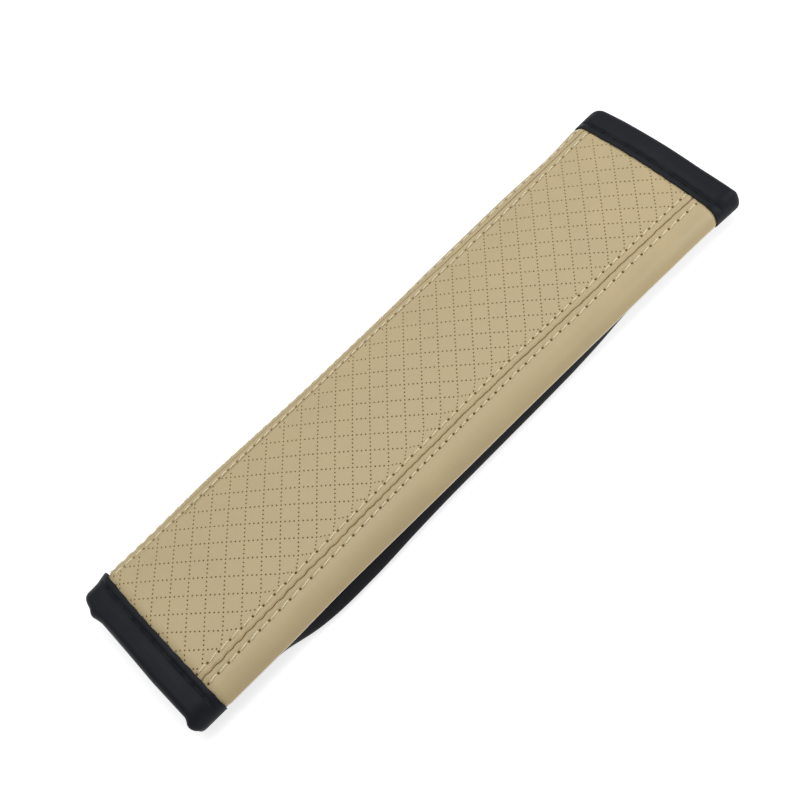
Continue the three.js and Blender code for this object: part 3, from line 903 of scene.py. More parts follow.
def embossed_leather(name, colour, roughness, specular, grain, mottle, punched=None, painted_warm_light=None):
    """Polyurethane leather: a cloth-backed film, embossed with a fine grain by a heated roller, so
    it has a soft satin gloss broken by tiny pebbles. The real grain is about 0.35 mm, and it is
    drawn coarser, at the size given, so that it shows from a step away."""
    material, shader, tree = new_material(name, Specular_IOR_Level=specular)
    spot = object_place(tree)
    cloud = add_node(tree, "ShaderNodeTexNoise", {
        "Vector": spot, "Scale": per(mottle), "Detail": 3.0, "Roughness": 0.55})
    surface, lighter = shades(colour, 0.90, 1.06)
    surface = (*surface, 1)
    layers = [(cloud.outputs["Fac"], lighter)]
    if painted_warm_light is not None:
        # Painted warm reflected light: low on the flanks the colour turns a little warmer, in soft patches
        height = add_node(tree, "ShaderNodeSeparateXYZ", {0: spot}).outputs["Z"]
        low = add_node(tree, "ShaderNodeMapRange", {
            "Value": height, "From Min": 11.5 * MM, "From Max": 8 * MM, "To Min": 0.0, "To Max": 1.0},
            interpolation_type="SMOOTHSTEP")
        patches = add_node(tree, "ShaderNodeMapRange", {
            "Value": cloud.outputs["Fac"], "From Min": 0.35, "From Max": 0.65, "To Min": 0.45,
            "To Max": 1.0})
        painted_warmth = add_node(tree, "ShaderNodeMath", {0: low, 1: patches}, operation="MULTIPLY")
        # Painted highlight: a pale line along the cut edge at the foot of a flank, where the edge catches
        # the light
        painted_edge_highlight = add_node(tree, "ShaderNodeMapRange", {
            "Value": height, "From Min": SHOULDER_Z + 0.9 * MM, "From Max": SHOULDER_Z + 0.5 * MM,
            "To Min": 0.0, "To Max": 1.0})
        layers += [(painted_warmth, painted_warm_light), (painted_edge_highlight, linear("F0E6CC"))]
    # Painted shade inside the holes, growing darker with depth
    if punched is not None:
        inside = add_node(tree, "ShaderNodeAttribute", attribute_name="punched")
        layers.append((inside.outputs["Fac"], punched))
    for share, over in layers:
        surface = add_node(tree, "ShaderNodeMix", {
            0: share, 6: surface, 7: (*over, 1)}, data_type="RGBA").outputs[2]
    tree.links.new(surface, shader.inputs["Base Color"])
    pebbles = add_node(tree, "ShaderNodeTexVoronoi", {
        "Vector": spot, "Scale": per(grain), "Randomness": 0.9}, feature="F1")
    worn = add_node(tree, "ShaderNodeMapRange", {
        "Value": cloud.outputs["Fac"], "From Min": 0.3, "From Max": 0.7,
        "To Min": roughness - 0.05, "To Max": roughness + 0.06})
    tree.links.new(worn.outputs[0], shader.inputs["Roughness"])
    relief = add_node(tree, "ShaderNodeBump", {
        "Height": pebbles.outputs["Distance"], "Strength": 0.12, "Distance": 0.05 * MM}, invert=True)
    tree.links.new(relief.outputs[0], shader.inputs["Normal"])
    return material


def twisted_thread(name, colour, roughness=0.55, sheen=0.25):
    """Bonded polyester thread: three plies twisted and waxed, so it shines softly along the ply and
    has fine darker fibres between."""
    material, shader, tree = new_material(
        name, Roughness=roughness, Specular_IOR_Level=0.4, Sheen_Weight=sheen, Sheen_Roughness=0.4)
    fibres = add_node(tree, "ShaderNodeTexNoise", {
        "Vector": object_place(tree), "Scale": per(0.35 * MM), "Detail": 2.0})
    two_tone(tree, shader, fibres.outputs["Fac"], *shades(colour, 0.82, 1), 0.3, 0.04 * MM)
    return material


def woven_cloth(name, colour, thread_spacing, sheen=0.3):
    """Plain-woven polyester: its threads pass over and under each other, which gives a dull face
    with a soft sheen at the edges. The real threads are 0.3 mm apart, and are drawn as far apart as
    given."""
    material, shader, tree = new_material(
        name, Roughness=0.82, Specular_IOR_Level=0.15, Sheen_Weight=sheen, Sheen_Roughness=0.5)
    cut = add_node(tree, "ShaderNodeUVMap", uv_map="cut")
    parts = add_node(tree, "ShaderNodeSeparateXYZ", {0: cut.outputs[0]})
    waves = []
    for axis in (0, 1):
        turn = add_node(tree, "ShaderNodeMath", {
            0: parts.outputs[axis], 1: math.pi * per(thread_spacing)}, operation="MULTIPLY")
        waves.append(add_node(tree, "ShaderNodeMath", {0: turn}, operation="SINE"))
    weave = add_node(tree, "ShaderNodeMath", {0: waves[0], 1: waves[1]}, operation="MULTIPLY")
    height = add_node(tree, "ShaderNodeMath", {0: weave}, operation="ABSOLUTE")
    two_tone(tree, shader, height, *shades(colour, 0.6, 1.25), 0.35, 0.1 * MM)
    return material


def cell_foam():
    """Open-cell polyurethane foam, cut from a block: a matt grey full of tiny pores."""
    material, shader, tree = new_material(
        "Polyurethane foam, cut", Roughness=0.95, Specular_IOR_Level=0.2)
    pores = add_node(tree, "ShaderNodeTexVoronoi", {
        "Vector": object_place(tree), "Scale": per(0.6 * MM)}, feature="F1")
    two_tone(tree, shader, pores.outputs["Distance"], linear("2E2E30"), linear("58585A"), 0.5,
             0.2 * MM)
    return material


class PadPanel:
    """One panel of leather on the cutting table, from its lower cut edge to its upper one."""

    def __init__(self, low, high, field_low, field_high, rows, sewn, pattern):
        self.low, self.high = low, high
        self.field_low, self.field_high = field_low, field_high
        self.rows = rows
        self.sewn = sewn
        self.pattern = pattern

    @property
    def cell_width(self):
        return (self.field_high - self.field_low) / self.rows


# A cut edge rolls over: distance in from the edge in millimetres, and share of the thickness below
ROLLED_EDGE = ((0, 0.5), (0.02, 0.25), (0.08, 0.08), (0.2, 0.0))
BESIDE_SEAM = (0.55, 0.85, 1.15, 1.45)


def panel_rest(panel, stations):
    """All of a panel except its punched face: the rolled edges, the back and the two ends."""
    shell = Shell()

    def line(s, h):
        return shell.row([(x, s, h) for x in stations])

    def edge(cut, face, way):
        insets = [(inset * MM, share) for inset, share in ROLLED_EDGE]
        reach = abs(face - cut)
        insets += [(inset * MM, 0) for inset in BESIDE_SEAM if inset * MM < reach - 0.15 * MM]
        return [(cut + way * inset, -share * LEATHER) for inset, share in insets]

    low_side = edge(panel.low, panel.field_low, 1)
    high_side = edge(panel.high, panel.field_high, -1)
    back_count = max(3, round((panel.high - panel.low) / (5 * MM)) + 1)
    back = [(s, -LEATHER) for s in np.linspace(panel.low, panel.high, back_count)]
    around = [(panel.field_low, 0), *reversed(low_side), *back, *high_side, (panel.field_high, 0)]
    lines = [line(s, h) for s, h in around]
    for lower, upper in zip(lines, lines[1:]):
        shell.strip(lower, upper)
    first_back = 1 + len(low_side)
    after_back = first_back + back_count
    for end in (0, -1):
        x = stations[end]
        face = np.linspace(panel.field_low, panel.field_high, panel.rows + 1)[1:-1]
        inside = shell.row([(x, s, 0) for s in face])
        top = [(around[k][0], lines[k][end]) for k in range(first_back - 1, -1, -1)]
        top += list(zip(face, inside))
        top += [(around[k][0], lines[k][end]) for k in range(len(around) - 1, after_back - 1, -1)]
        bottom = [(around[k][0], lines[k][end]) for k in range(first_back, after_back)]
        shell.zip(top, bottom)
    return shell.mesh("panel rest")


def panel_mesh(panel, tree, material):
    """The whole panel: a punched face laid out by the tree, welded to its edges and back."""
    leather = bpy.context.scene.pad_leather
    before = int((SHEET_END - BINDING_EDGE - CELL / 2) / CELL)
    columns = before + round((SHEET_END + BINDING_EDGE + CELL / 2) / CELL)
    width = panel.cell_width
    pin, needle = leather.pinhole_radius, leather.needle_radius
    cells = {
        "Pinhole Cell": punched_cell("pinhole cell", width, (
            (1.35 * pin, 0), (pin, 0.06 * MM), (0.8 * pin, 0.5 * MM))),
        "Needle Cell": punched_cell("needle cell", width, (
            (1.2 * needle, 0.02 * MM), (0.9 * needle, 0.14 * MM), (0.7 * needle, 0.65 * MM))),
        "Plain Cell": add_mesh("plain cell", cell_corners(width), [(0, 1, 2, 3)]),
    }
    start = FIRST_HOLE - CELL / 2 - before * CELL
    middle = (start + columns * CELL / 2, (panel.field_low + panel.field_high) / 2)
    marks = add_mesh("needle marks", [
        (x - middle[0], TOPSTITCH_ROWS[row] - middle[1], 0)
        for row in panel.sewn for x in hole_cells(row)])
    first, last = panel.pattern
    face = grow(tree, {
        "Columns": columns, "Rows": panel.rows, "Cell Length": CELL, "Cell Width": width,
        "Cells Before Pattern": before, "Cells Per Diamond": CELLS_PER_DIAMOND,
        "First Pattern Row": first, "Last Pattern Row": last, "Needle Marks": marks,
        "Leather": material, **cells,
    })
    for made in (marks, *cells.values()):
        bpy.data.objects.remove(made)
    points = read_points(face)
    points[:, :2] += middle
    stations = start + CELL * np.arange(columns + 1)
    for column, wanted in ((stations[0], -SHEET_END), (stations[-1], SHEET_END)):
        points[np.abs(points[:, 0] - column) < 0.01 * MM, 0] = wanted
    stations[0], stations[-1] = -SHEET_END, SHEET_END
    write_points(face, points)
    rest = panel_rest(panel, stations)
    whole = bmesh.new()
    whole.from_mesh(face)
    whole.from_mesh(rest)
    bmesh.ops.remove_doubles(whole, verts=whole.verts, dist=0.005 * MM)
    mesh = bpy.data.meshes.new("panel")
    whole.to_mesh(mesh)
    whole.free()
    mark_holes(mesh, panel)
    write_points(mesh, sew_over_front(read_points(mesh)))
    outward(mesh)
    return mesh


def mark_holes(mesh, panel):
    """Keeps how far inside a hole each point of the flat panel is, for the painted shade inside the holes.
    """
    _, s, h = read_points(mesh).T
    on_face = (s > panel.field_low) & (s < panel.field_high) & (h > -LEATHER + 0.01 * MM)
    inside = np.where(on_face, smooth(-h, 0.01 * MM, 0.12 * MM), 0)
    # The thread fills most of each hole in the left rows, so less shade is painted there
    inside *= np.where(s > LEFT_ROW - CELL_ACROSS / 2, 0.6, 1)
    layer = mesh.attributes.new("punched", "FLOAT", "POINT")
    layer.data.foreach_set("value", inside.astype(np.float32))


class PAD_OT_leather_panels(bpy.types.Operator):
    """Makes the perforated front panel and the two plain side panels"""

    bl_idname = "pad.leather_panels"
    bl_label = "Leather panels"

    def execute(self, context):
        colours = context.scene.pad_colours
        colour = tuple(colours.leather)
        punched = embossed_leather(
            "Polyurethane leather, embossed and perforated", colour, 0.5, 0.4, GRAIN, MOTTLE,
            tuple(colours.holes))
        # The side panels' leather is the front's colour drawn 2.5 % darker, painted shade on the flanks,
        # and it carries the painted warm light and the painted edge highlight
        plain = embossed_leather(
            "Polyurethane leather, embossed", *shades(colour, 0.975), 0.46, 0.4, GRAIN, MOTTLE,
            tuple(colours.holes), linear("CBB281"))
        tree = punching_tree()
        half_cell, half_across = CELL / 2, CELL_ACROSS / 2
        front = PadPanel(
            RIGHT_SEAM + SEAM_GAP / 2, LEFT_SEAM - SEAM_GAP / 2,
            RIGHT_SEAM + RIGHT_INSET - half_across, LEFT_ROW + half_across, FRONT_ROWS + 1,
            ("right_seam_front", "left_seam_front"), (1, FRONT_ROWS - 1))
        trim = 0.5 * MM
        right_top = RIGHT_SEAM - RIGHT_INSET + half_cell
        right_rows = round((right_top + FLANK_RUN - trim) / CELL)
        right = PadPanel(
            -FLANK_RUN, RIGHT_SEAM - SEAM_GAP / 2, trim - FLANK_RUN, right_top, right_rows,
            ("right_seam_side",), (1, 0))
        left_end = LEFT_SEAM + LEFT_PANEL
        left_bottom = LEFT_SEAM + LEFT_INSET - half_cell
        left = PadPanel(
            LEFT_SEAM + SEAM_GAP / 2, left_end, left_bottom, left_end - trim,
            round((left_end - trim - left_bottom) / CELL), ("left_seam_side",), (1, 0))
        for node, panel, slot, material in (
            ("left_side_panel", left, "plain_leather", plain),
            ("right_side_panel", right, "plain_leather", plain),
            ("front_panel", front, "perforated_leather", punched),
        ):
            mesh = panel_mesh(panel, tree, material)
            finish_piece(f"{node}_leather", mesh, node, material)
        # The narrow left panel is the front panel's own edging
        return {"FINISHED"}


class PAD_OT_topstitching(bpy.types.Operator):
    """Sews the four rows of thread beside the two seams"""

    bl_idname = "pad.topstitching"
    bl_label = "Topstitching"

    def execute(self, context):
        thread = context.scene.pad_thread
        material = twisted_thread(
            "Bonded polyester thread, twisted", tuple(context.scene.pad_colours.thread))
        tree = stitching_tree()
        for number, (row, over) in enumerate(TOPSTITCH_ROWS.items()):
            rise = 0.3 if row == "left_seam_side" else 0.95
            mesh = sew_row(
                tree, hole_cells(row), thread.radius, rise * thread.radius, thread.slant,
                math.radians(2.5), thread.seed + number, material)
            flat = read_points(mesh)
            flat[:, 1] += over
            write_points(mesh, sew_over_front(flat))
            outward(mesh)
            finish_piece(f"{row}_thread", mesh, f"{row}_stitches", material)
        return {"FINISHED"}


def along_pad(step):
    """Stations along a sheet that runs under both bindings, close together where it dives."""
    body = np.linspace(-TUCK_START, TUCK_START, round(2 * TUCK_START / step) + 1)
    dive = np.linspace(TUCK_START, BINDING_EDGE, 5)[1:]
    end = np.linspace(BINDING_EDGE, SHEET_END, 5)[1:]
    beyond = np.concatenate([dive, end])
    return np.concatenate([-beyond[::-1], body, beyond])


def inflate(piece, held, most):
    """Lets cloth simulation fill a closed piece, with the held points fixed. No point moves further
    than most. Gives back how far each point moved."""
    mesh = piece.data
    before = read_points(mesh)
    pins = piece.vertex_groups.new(name="held")
    for k in np.flatnonzero(held):
        pins.add([int(k)], 1, "REPLACE")
    filling = piece.modifiers.new("filling", "CLOTH")
    cloth = filling.settings
    cloth.vertex_group_mass = "held"
    cloth.quality = 6
    cloth.mass = 0.05
    cloth.tension_stiffness = cloth.compression_stiffness = 12
    cloth.shear_stiffness = 6
    cloth.bending_stiffness = 0.4
    cloth.use_pressure = True
    cloth.uniform_pressure_force = 4
    cloth.effector_weights.gravity = 0
    filling.collision_settings.use_collision = False
    filling.collision_settings.use_self_collision = False
    scene = bpy.context.scene
    for number in range(1, FILLING_FRAMES + 1):
        scene.frame_set(number)
    view = bpy.context.evaluated_depsgraph_get()
    after = read_points(piece.evaluated_get(view).data)
    piece.modifiers.clear()
    piece.vertex_groups.clear()
    scene.frame_set(1)
    moved = after - before
    reach = np.linalg.norm(moved, axis=1, keepdims=True)
    moved *= most * np.tanh(reach / most) / np.maximum(reach, 1e-9)
    write_points(mesh, before + moved)
    return moved


class PAD_OT_foam(bpy.types.Operator):
    """Makes the foam core, fills it out, and keeps how far it lifts the leather"""

    bl_idname = "pad.foam"
    bl_label = "Foam core"

    def execute(self, context):
        x = np.linspace(-SHEET_END, SHEET_END, FOAM_STATIONS)[None, :]
        share = np.linspace(-FOAM_SHARE, FOAM_SHARE, FOAM_ROWS)[:, None]
        s = over_front(x, share)
        across, up = front_section(x, s, inner_depth(x, s))
        under = np.minimum(foam_underside(x, s), up - 0.3 * MM)
        top = place(x, across, up)
        mesh = closed_sheet("foam", top, place(x, across, under))
        piece = finish_piece("foam_core_pad", mesh, "foam_core", cell_foam())
        self.fill(context, piece, top, s)
        return {"FINISHED"}

    def fill(self, context, piece, top, s):
        """Only the top is free to rise. The ends and the two sewn lines hold it."""
        count = top.shape[0] * top.shape[1]
        flat_x, flat_s = top[..., 0], s + 0 * top[..., 0]
        to_left = np.abs(flat_s - LEFT_SEAM_LIES)
        sewn = np.minimum(np.abs(flat_s - RIGHT_SEAM), to_left) < SEWN_REACH
        edge = np.zeros(top.shape[:2], bool)
        edge[0] = edge[-1] = edge[:, 0] = edge[:, -1] = True
        held = np.ones(2 * count, bool)
        held[:count] = (sewn | edge | (np.abs(flat_x) > BINDING_EDGE)).ravel()
        lift = inflate(piece, held, context.scene.pad_leather.swell)[:count, 2]
        lift = np.clip(lift, 0, None).reshape(top.shape[:2]).T
        along = flat_x[0]
        for k, at in enumerate(Swelling.along):
            column = int(np.argmin(np.abs(along - at)))
            Swelling.lift[k] = np.interp(Swelling.over, flat_s[:, column], lift[column], 0, 0)
        for _ in range(3):
            Swelling.lift[1:-1] = (Swelling.lift[:-2] + 2 * Swelling.lift[1:-1] + Swelling.lift[2:]) / 4


def soft_least(a, b, reach):
    """The smaller of two heights, with the corner between them rounded."""
    least = np.minimum(a, b)
    apart = np.abs(a - b)
    return least - reach * np.log1p(np.exp(-apart / reach))


class PAD_OT_lining(bpy.types.Operator):
    """Lays the lining under the foam and down inside both flanks"""

    bl_idname = "pad.lining"
    bl_label = "Lining"

    def execute(self, context):
        x = along_pad(LINING_STEP)[None, :]
        s = over_front(x, np.linspace(-1, 1, LINING_ROWS)[:, None])
        grids = []
        for extra in (0, LINING):
            across, up = front_section(x, s, inner_depth(x, s) + extra)
            ceiling = foam_underside(x, s) - SHEET_GAP - extra
            grids.append(place(x, across, soft_least(up, ceiling, LINING_CORNER)))
        mesh = closed_sheet("lining", grids[0], grids[1], together(s, x))
        material = woven_cloth(
            "Polyester lining, plain woven", tuple(context.scene.pad_colours.flaps), 0.8 * MM)
        piece = finish_piece("lining_cloth", mesh, "lining", material)
        return {"FINISHED"}


def flap_grid(flap, steps):
    """Stations down a flap as (t, beyond), from the seam to the free edge, as column arrays."""
    t = np.linspace(flap.start(), 1, steps)
    beyond = np.linspace(0, FLAP_REACH, steps)[1:]
    return (np.concatenate([t, np.ones(steps - 1)])[:, None],
            np.concatenate([np.zeros(steps), beyond])[:, None])


def fastener_rows(flap):
    """Where each row that holds a fastener strip is, as far over the flat back as beyond is."""
    return np.array([HALF_WIDTH - FOLD_INSET - flap.side * y for y in (-FASTENER_ROW, FASTENER_ROW)])


class PAD_OT_flaps(bpy.types.Operator):
    """Folds the two cloth flaps that lap under the belt"""

    bl_idname = "pad.flaps"
    bl_label = "Flaps"

    def execute(self, context):
        material = woven_cloth(
            "Polyester cloth, plain woven", tuple(context.scene.pad_colours.flaps), 0.9 * MM, 0.15)
        for node, flap in (("right_flap", RIGHT_FLAP), ("left_flap", LEFT_FLAP)):
            x = along_pad(FLAP_STEP)[None, :]
            t, beyond = (column[:, 0] for column in flap_grid(flap, FLAP_ROWS))
            beside = np.add.outer(fastener_rows(flap), np.linspace(-0.8, 0.8, 5) * MM).ravel()
            t, beyond = np.append(t, 1 + 0 * beside), np.append(beyond, beside)
            order = np.lexsort((beyond, t))
            t, beyond = t[order, None], beyond[order, None]
            # Sewing draws in the face away from the strip
            drawn_in = FASTENER_GROOVE * sum(hump(beyond, row, 0.5 * MM) for row in fastener_rows(flap))
            drawn_in = drawn_in * (1 - smooth(np.abs(x), STRIP_END - 3 * MM, STRIP_END))
            sunk = leather_depth(x, flap.side * FLANK_RUN)
            grids = []
            for extra in (0, FLAP):
                if (extra == 0) == (flap is RIGHT_FLAP):
                    extra = extra + drawn_in * -flap.side
                across, up = flap.section(x, t, beyond, sunk + extra)
                grids.append(place(x, across, up))
            steps = np.linalg.norm(np.diff(grids[0], axis=0), axis=2)
            down = np.concatenate([np.zeros((1, x.shape[1])), np.cumsum(steps, axis=0)])
            mesh = closed_sheet(node, grids[0], grids[1], together(down, x))
            piece = finish_piece(f"{node}_cloth", mesh, node, material)
        return {"FINISHED"}


class PAD_OT_fasteners(bpy.types.Operator):
    """Lays the hook and loop strips between the flaps"""

    bl_idname = "pad.fasteners"
    bl_label = "Touch fastener strips"

    def execute(self, context):
        material = woven_cloth("Nylon touch fastener, woven", linear("17181A"), 1.2 * MM, 0.2)
        for node, slot in (("hook_strip", "hook_tape"), ("loop_strip", "loop_tape")):
            low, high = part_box(node)
            x = np.linspace(-STRIP_END, STRIP_END, STRIP_STATIONS)[None, :]
            y = np.linspace(-STRIP_WIDTH / 2, STRIP_WIDTH / 2, STRIP_ROWS)[:, None]
            grids = [place(x, y, level + 0 * (x + y)) for level in (high.z, low.z)]
            mesh = closed_sheet(node, grids[0], grids[1], together(y, x))
            piece = finish_piece(f"{node}_tape", mesh, node, material)
        return {"FINISHED"}


class PAD_OT_fastener_sewing(bpy.types.Operator):
    """Sews each fastener strip to its flap with two rows of thread"""

    bl_idname = "pad.fastener_sewing"
    bl_label = "Touch fastener sewing"

    def execute(self, context):
        thread = context.scene.pad_thread
        material = twisted_thread("Spun polyester thread, black", linear("131417"), 0.6, 0.1)
        tree = stitching_tree()
        reach = STRIP_END - 2 * MM
        holes = np.linspace(-reach, reach, round(2 * reach / FASTENER_PITCH) + 1)
        for node, flap in (("hook_strip", RIGHT_FLAP), ("loop_strip", LEFT_FLAP)):
            for number, row in enumerate(fastener_rows(flap)):
                mesh = sew_row(
                    tree, holes, FASTENER_THREAD, 0, thread.slant / 2, math.radians(2),
                    thread.seed + 20 + number, material)
                x, off, rise = read_points(mesh).T
                drawn_in = 0.8 * FASTENER_GROOVE - rise
                depth = drawn_in if flap is RIGHT_FLAP else FLAP - drawn_in
                write_points(mesh, place(x, *flap.section(x, 1 + 0 * x, row + off, depth)))
                outward(mesh)
                finish_piece(f"{node}_thread_{number + 1}", mesh, None, material)
        return {"FINISHED"}


def binding_way(step):
    """The way of a binding round the sleeve, from the right flap's free edge to the left's. Each
    stop is (part, share, t, beyond): part -1 on the right flap, 0 over the front, 1 on the left."""
    sides = []
    for flap in (RIGHT_FLAP, LEFT_FLAP):
        t, beyond = flap_grid(flap, round(FLAP_REACH / (2 * step)))
        sides.append([(flap.side, flap.side, a, b) for a, b in zip(t[:, 0], beyond[:, 0])])
    shares = np.linspace(-1, 1, round(2 * FLANK_RUN / step) + 1)
    front = [(0, share, 0.0, 0.0) for share in shares]
    return np.array([*reversed(sides[0]), *front, *sides[1]])


def binding_x(end, p, s):
    """Where a place across the binding lies along the pad. p goes from its open edge to its fold."""
    width = HALF_LENGTH - BINDING_EDGE
    edge = through(s, OPEN_EDGE[end], OPEN_BLUR) + 0.07 * MM * np.sin(s / (0.9 * MM) + 3 * end)
    fold = through(s, FOLDED_END[end], FOLD_BLUR)
    return end * (BINDING_EDGE + edge + p * (width + fold - edge) / width)


def binding_sections(x, stops):
    """The outside of the sleeve and its inside at a grid of x and stops, as functions of depth."""
    part, share, t, beyond = (column[:, None] for column in stops.T)
    s = over_front(x, share)
    end = np.sign(x) * HALF_LENGTH
    inner = inner_depth(end, s) + LINING + SHEET_GAP
    ceiling = foam_underside(end, s) - LINING - 2 * SHEET_GAP
    flap_inner = TAPE_DEPTH + FLAP + SHEET_GAP
    straight_to = 0.45

    def flap_at(at_t, depth):
        right = np.array(np.broadcast_arrays(*RIGHT_FLAP.section(x, at_t, beyond, depth)))
        left = np.array(np.broadcast_arrays(*LEFT_FLAP.section(x, at_t, beyond, depth)))
        return np.where(part < 0, right, left)

    def outer(depth):
        front = np.array(np.broadcast_arrays(*front_section(x, s, depth), 0 * x)[:2])
        return np.where(part == 0, front, flap_at(t, depth))

    def inside(depth):
        across, up = front_section(x, s, inner + depth)
        front = np.array(np.broadcast_arrays(across, np.minimum(up, ceiling - depth), 0 * x)[:2])
        below = flap_at(np.maximum(t, straight_to), flap_inner + depth)
        down = np.clip(t / straight_to, 0, 1)
        return np.where(part == 0, front, front + (below - front) * down)

    return outer, inside


# Places across a binding's face where it needs points, from its open edge, in millimetres
BINDING_FACE = (0, 0.12, 0.35, 0.8, 1.3, 1.8, 2.2, 2.45, 2.65, 2.8, 2.95, 3.15, 3.4, 3.8, 4.3, 5, 6, 7,
                8, 9)
BINDING_BACK = (9, 7.5, 6, 4.5, 3, 2, 1, 0.35, 0)
FOLD_STEPS = 12


def binding_relief(p, s):
    """Height of a binding's face: it is drawn in along its stitching, and rolls out on both sides."""
    settings = bpy.context.scene.pad_bindings
    stitch = np.abs((s / BINDING_PITCH) % 1 - 0.5) * 2
    uneven = 1 + 0.3 * np.sin(s / (3.1 * MM)) + 0.2 * np.sin(s / (1.7 * MM) + 2)
    rolls = settings.puff * smooth(p, BINDING_ROW_INSET, 6.5 * MM)
    rolls += LIP_RISE * hump(p, 1.3 * MM, MM)
    dents = BINDING_DENT * uneven * hump(p, BINDING_ROW_INSET, 0.6 * MM) * smooth(stitch, 0.6, 1)
    height = rolls - settings.groove * uneven * hump(p, BINDING_ROW_INSET, 0.55 * MM) - dents
    # The leather under the tape stops it
    room = TAPE_DEPTH - 0.1 * MM
    return np.where(height < 0, room * np.tanh(height / room), height)


def binding_grid(end, stops, skin):
    """One skin of a binding as a grid of points: over the face, round the end and along the back."""
    part, share = stops[:, 0][:, None], stops[:, 1][:, None]
    turn = np.linspace(0, np.pi, FOLD_STEPS + 1)
    web = HALF_LENGTH - BINDING_EDGE - BINDING_ROLL
    face, back = np.array(BINDING_FACE) * MM, np.array(BINDING_BACK) * MM
    p = np.concatenate([face, web + (BINDING_ROLL - skin) * np.sin(turn), back])[None, :]
    inwards = np.concatenate([0 * face, 0.5 - 0.5 * np.cos(turn), 0 * back + 1])[None, :]
    s = share * FLANK_RUN
    x = binding_x(end, p, s + part * stops[:, 3][:, None])
    outer, inside = binding_sections(x, stops)
    relief = binding_relief(p, s) * (1 - smooth(inwards, 0, 0.8)) * (part == 0)
    relief *= 1 - smooth(np.abs(share), 0.78, 0.92)
    # The near binding's open edge flares at its left corner
    flare = FLARE_RISE * hump(share, FLARE_SHARE, 0.13) * hump(p, 0, FLARE_REACH)
    relief += (end < 0) * flare * (part == 0)
    over = outer(skin - relief)
    under = inside(TAPE - skin)
    across, up = over + (under - over) * inwards
    return place(x, across, up)


class PAD_OT_bindings(bpy.types.Operator):
    """Folds a binding round each end of the sleeve"""

    bl_idname = "pad.bindings"
    bl_label = "End bindings"

    def execute(self, context):
        material = embossed_leather(
            "Polyurethane leather tape, embossed", tuple(context.scene.pad_colours.binding),
            0.48, 0.13, TAPE_GRAIN, TAPE_MOTTLE)
        for node, end in (("near_binding", -1), ("far_binding", 1)):
            stops = binding_way(BINDING_STEP)
            outer = binding_grid(end, stops, 0)
            inner = binding_grid(end, stops, TAPE)
            mesh = closed_sheet(node, outer, inner)
            piece = finish_piece(f"{node}_tape", mesh, node, material)
        return {"FINISHED"}


class PAD_OT_binding_stitching(bpy.types.Operator):
    """Sews a row of thread round the front of each binding"""

    bl_idname = "pad.binding_stitching"
    bl_label = "Binding stitching"

    def execute(self, context):
        thread = context.scene.pad_thread
        material = twisted_thread("Bonded polyester thread, black", linear("050607"), 0.8, 0.0)
        tree = stitching_tree()
        reach = FLANK_RUN - 2 * MM
        holes = np.linspace(-reach, reach, round(2 * reach / BINDING_PITCH) + 1)
        for number, (name, end) in enumerate((("near_binding", -1), ("far_binding", 1))):
            mesh = sew_row(
                tree, holes, 0.7 * thread.radius, 0.05 * thread.radius, thread.slant / 2,
                math.radians(2), thread.seed + 10 + number, material)
            s, off, rise = read_points(mesh).T
            x = binding_x(end, BINDING_ROW_INSET + off, s)
            relief = binding_relief(BINDING_ROW_INSET + off, s)
            write_points(mesh, place(x, *front_section(x, s, -relief - rise)))
            outward(mesh)
            finish_piece(f"{name}_thread", mesh, f"{name}_stitches", material)
        return {"FINISHED"}


# The camera, as the photograph was taken
CAMERA_AIM = Vector((-8.2, 1.6, 15)) * MM
CAMERA_DISTANCE = 428 * MM
CAMERA_AZIMUTH = math.radians(61.65)  # heading over the ground, from +X towards +Y
CAMERA_ELEVATION = math.radians(58.98)
CAMERA_ROLL = math.radians(19.57)
CAMERA_LENS = 58.95  # millimetres, on a sensor 36 mm wide


# Each lamp: where it hangs, how wide it is, and its power in watts
LAMPS = {"key": ((0.2, 0.35, 1.3), 1.0, 8), "side": ((0.34, -0.28, 0.22), 0.2, 0.5)}
WORLD_LIGHT = 0.38
PAPER = (0.8, 0.8, 0.8, 1)
WHITE = (1, 1, 1, 1)
PAPER_LIFT = 0.65
FLOOR_REACH = 6


def aim_camera(scene):
    heading = Vector((math.cos(CAMERA_AZIMUTH), math.sin(CAMERA_AZIMUTH), 0))
    ahead = heading * math.cos(CAMERA_ELEVATION) - Vector((0, 0, math.sin(CAMERA_ELEVATION)))
    level = ahead.cross(Vector((0, 0, 1))).normalized()
    upright = level.cross(ahead)
    up = upright * math.cos(CAMERA_ROLL) + level * math.sin(CAMERA_ROLL)
    side = ahead.cross(up)
    camera = add_object("camera", bpy.data.cameras.new("camera"))
    turn = Matrix((side, up, -ahead)).transposed().to_4x4()
    camera.matrix_world = Matrix.Translation(CAMERA_AIM - ahead * CAMERA_DISTANCE) @ turn
    camera.data.lens = CAMERA_LENS
    camera.data.sensor_width = 36
    camera.data.clip_start = 0.01
    camera.data.clip_end = 20
    scene.camera = camera


def area_light(name, where, size, power):
    """A square lamp that faces the pad."""
    lamp = bpy.data.lights.new(name, "AREA")
    lamp.shape = "SQUARE"
    lamp.size = size
    lamp.energy = power
    made = add_object(name, lamp)
    made.location = where
    made.rotation_euler = (-Vector(where)).to_track_quat("-Z", "Y").to_euler()


def seen_directly(tree):
    """1 for rays from the camera, and for those that glossy and clear surfaces send."""
    path = add_node(tree, "ShaderNodeLightPath")
    either = add_node(tree, "ShaderNodeMath", {
        0: path.outputs["Is Camera Ray"], 1: path.outputs["Is Glossy Ray"]}, operation="MAXIMUM")
    return add_node(tree, "ShaderNodeMath", {
        0: either, 1: path.outputs["Is Transmission Ray"]}, operation="MAXIMUM")


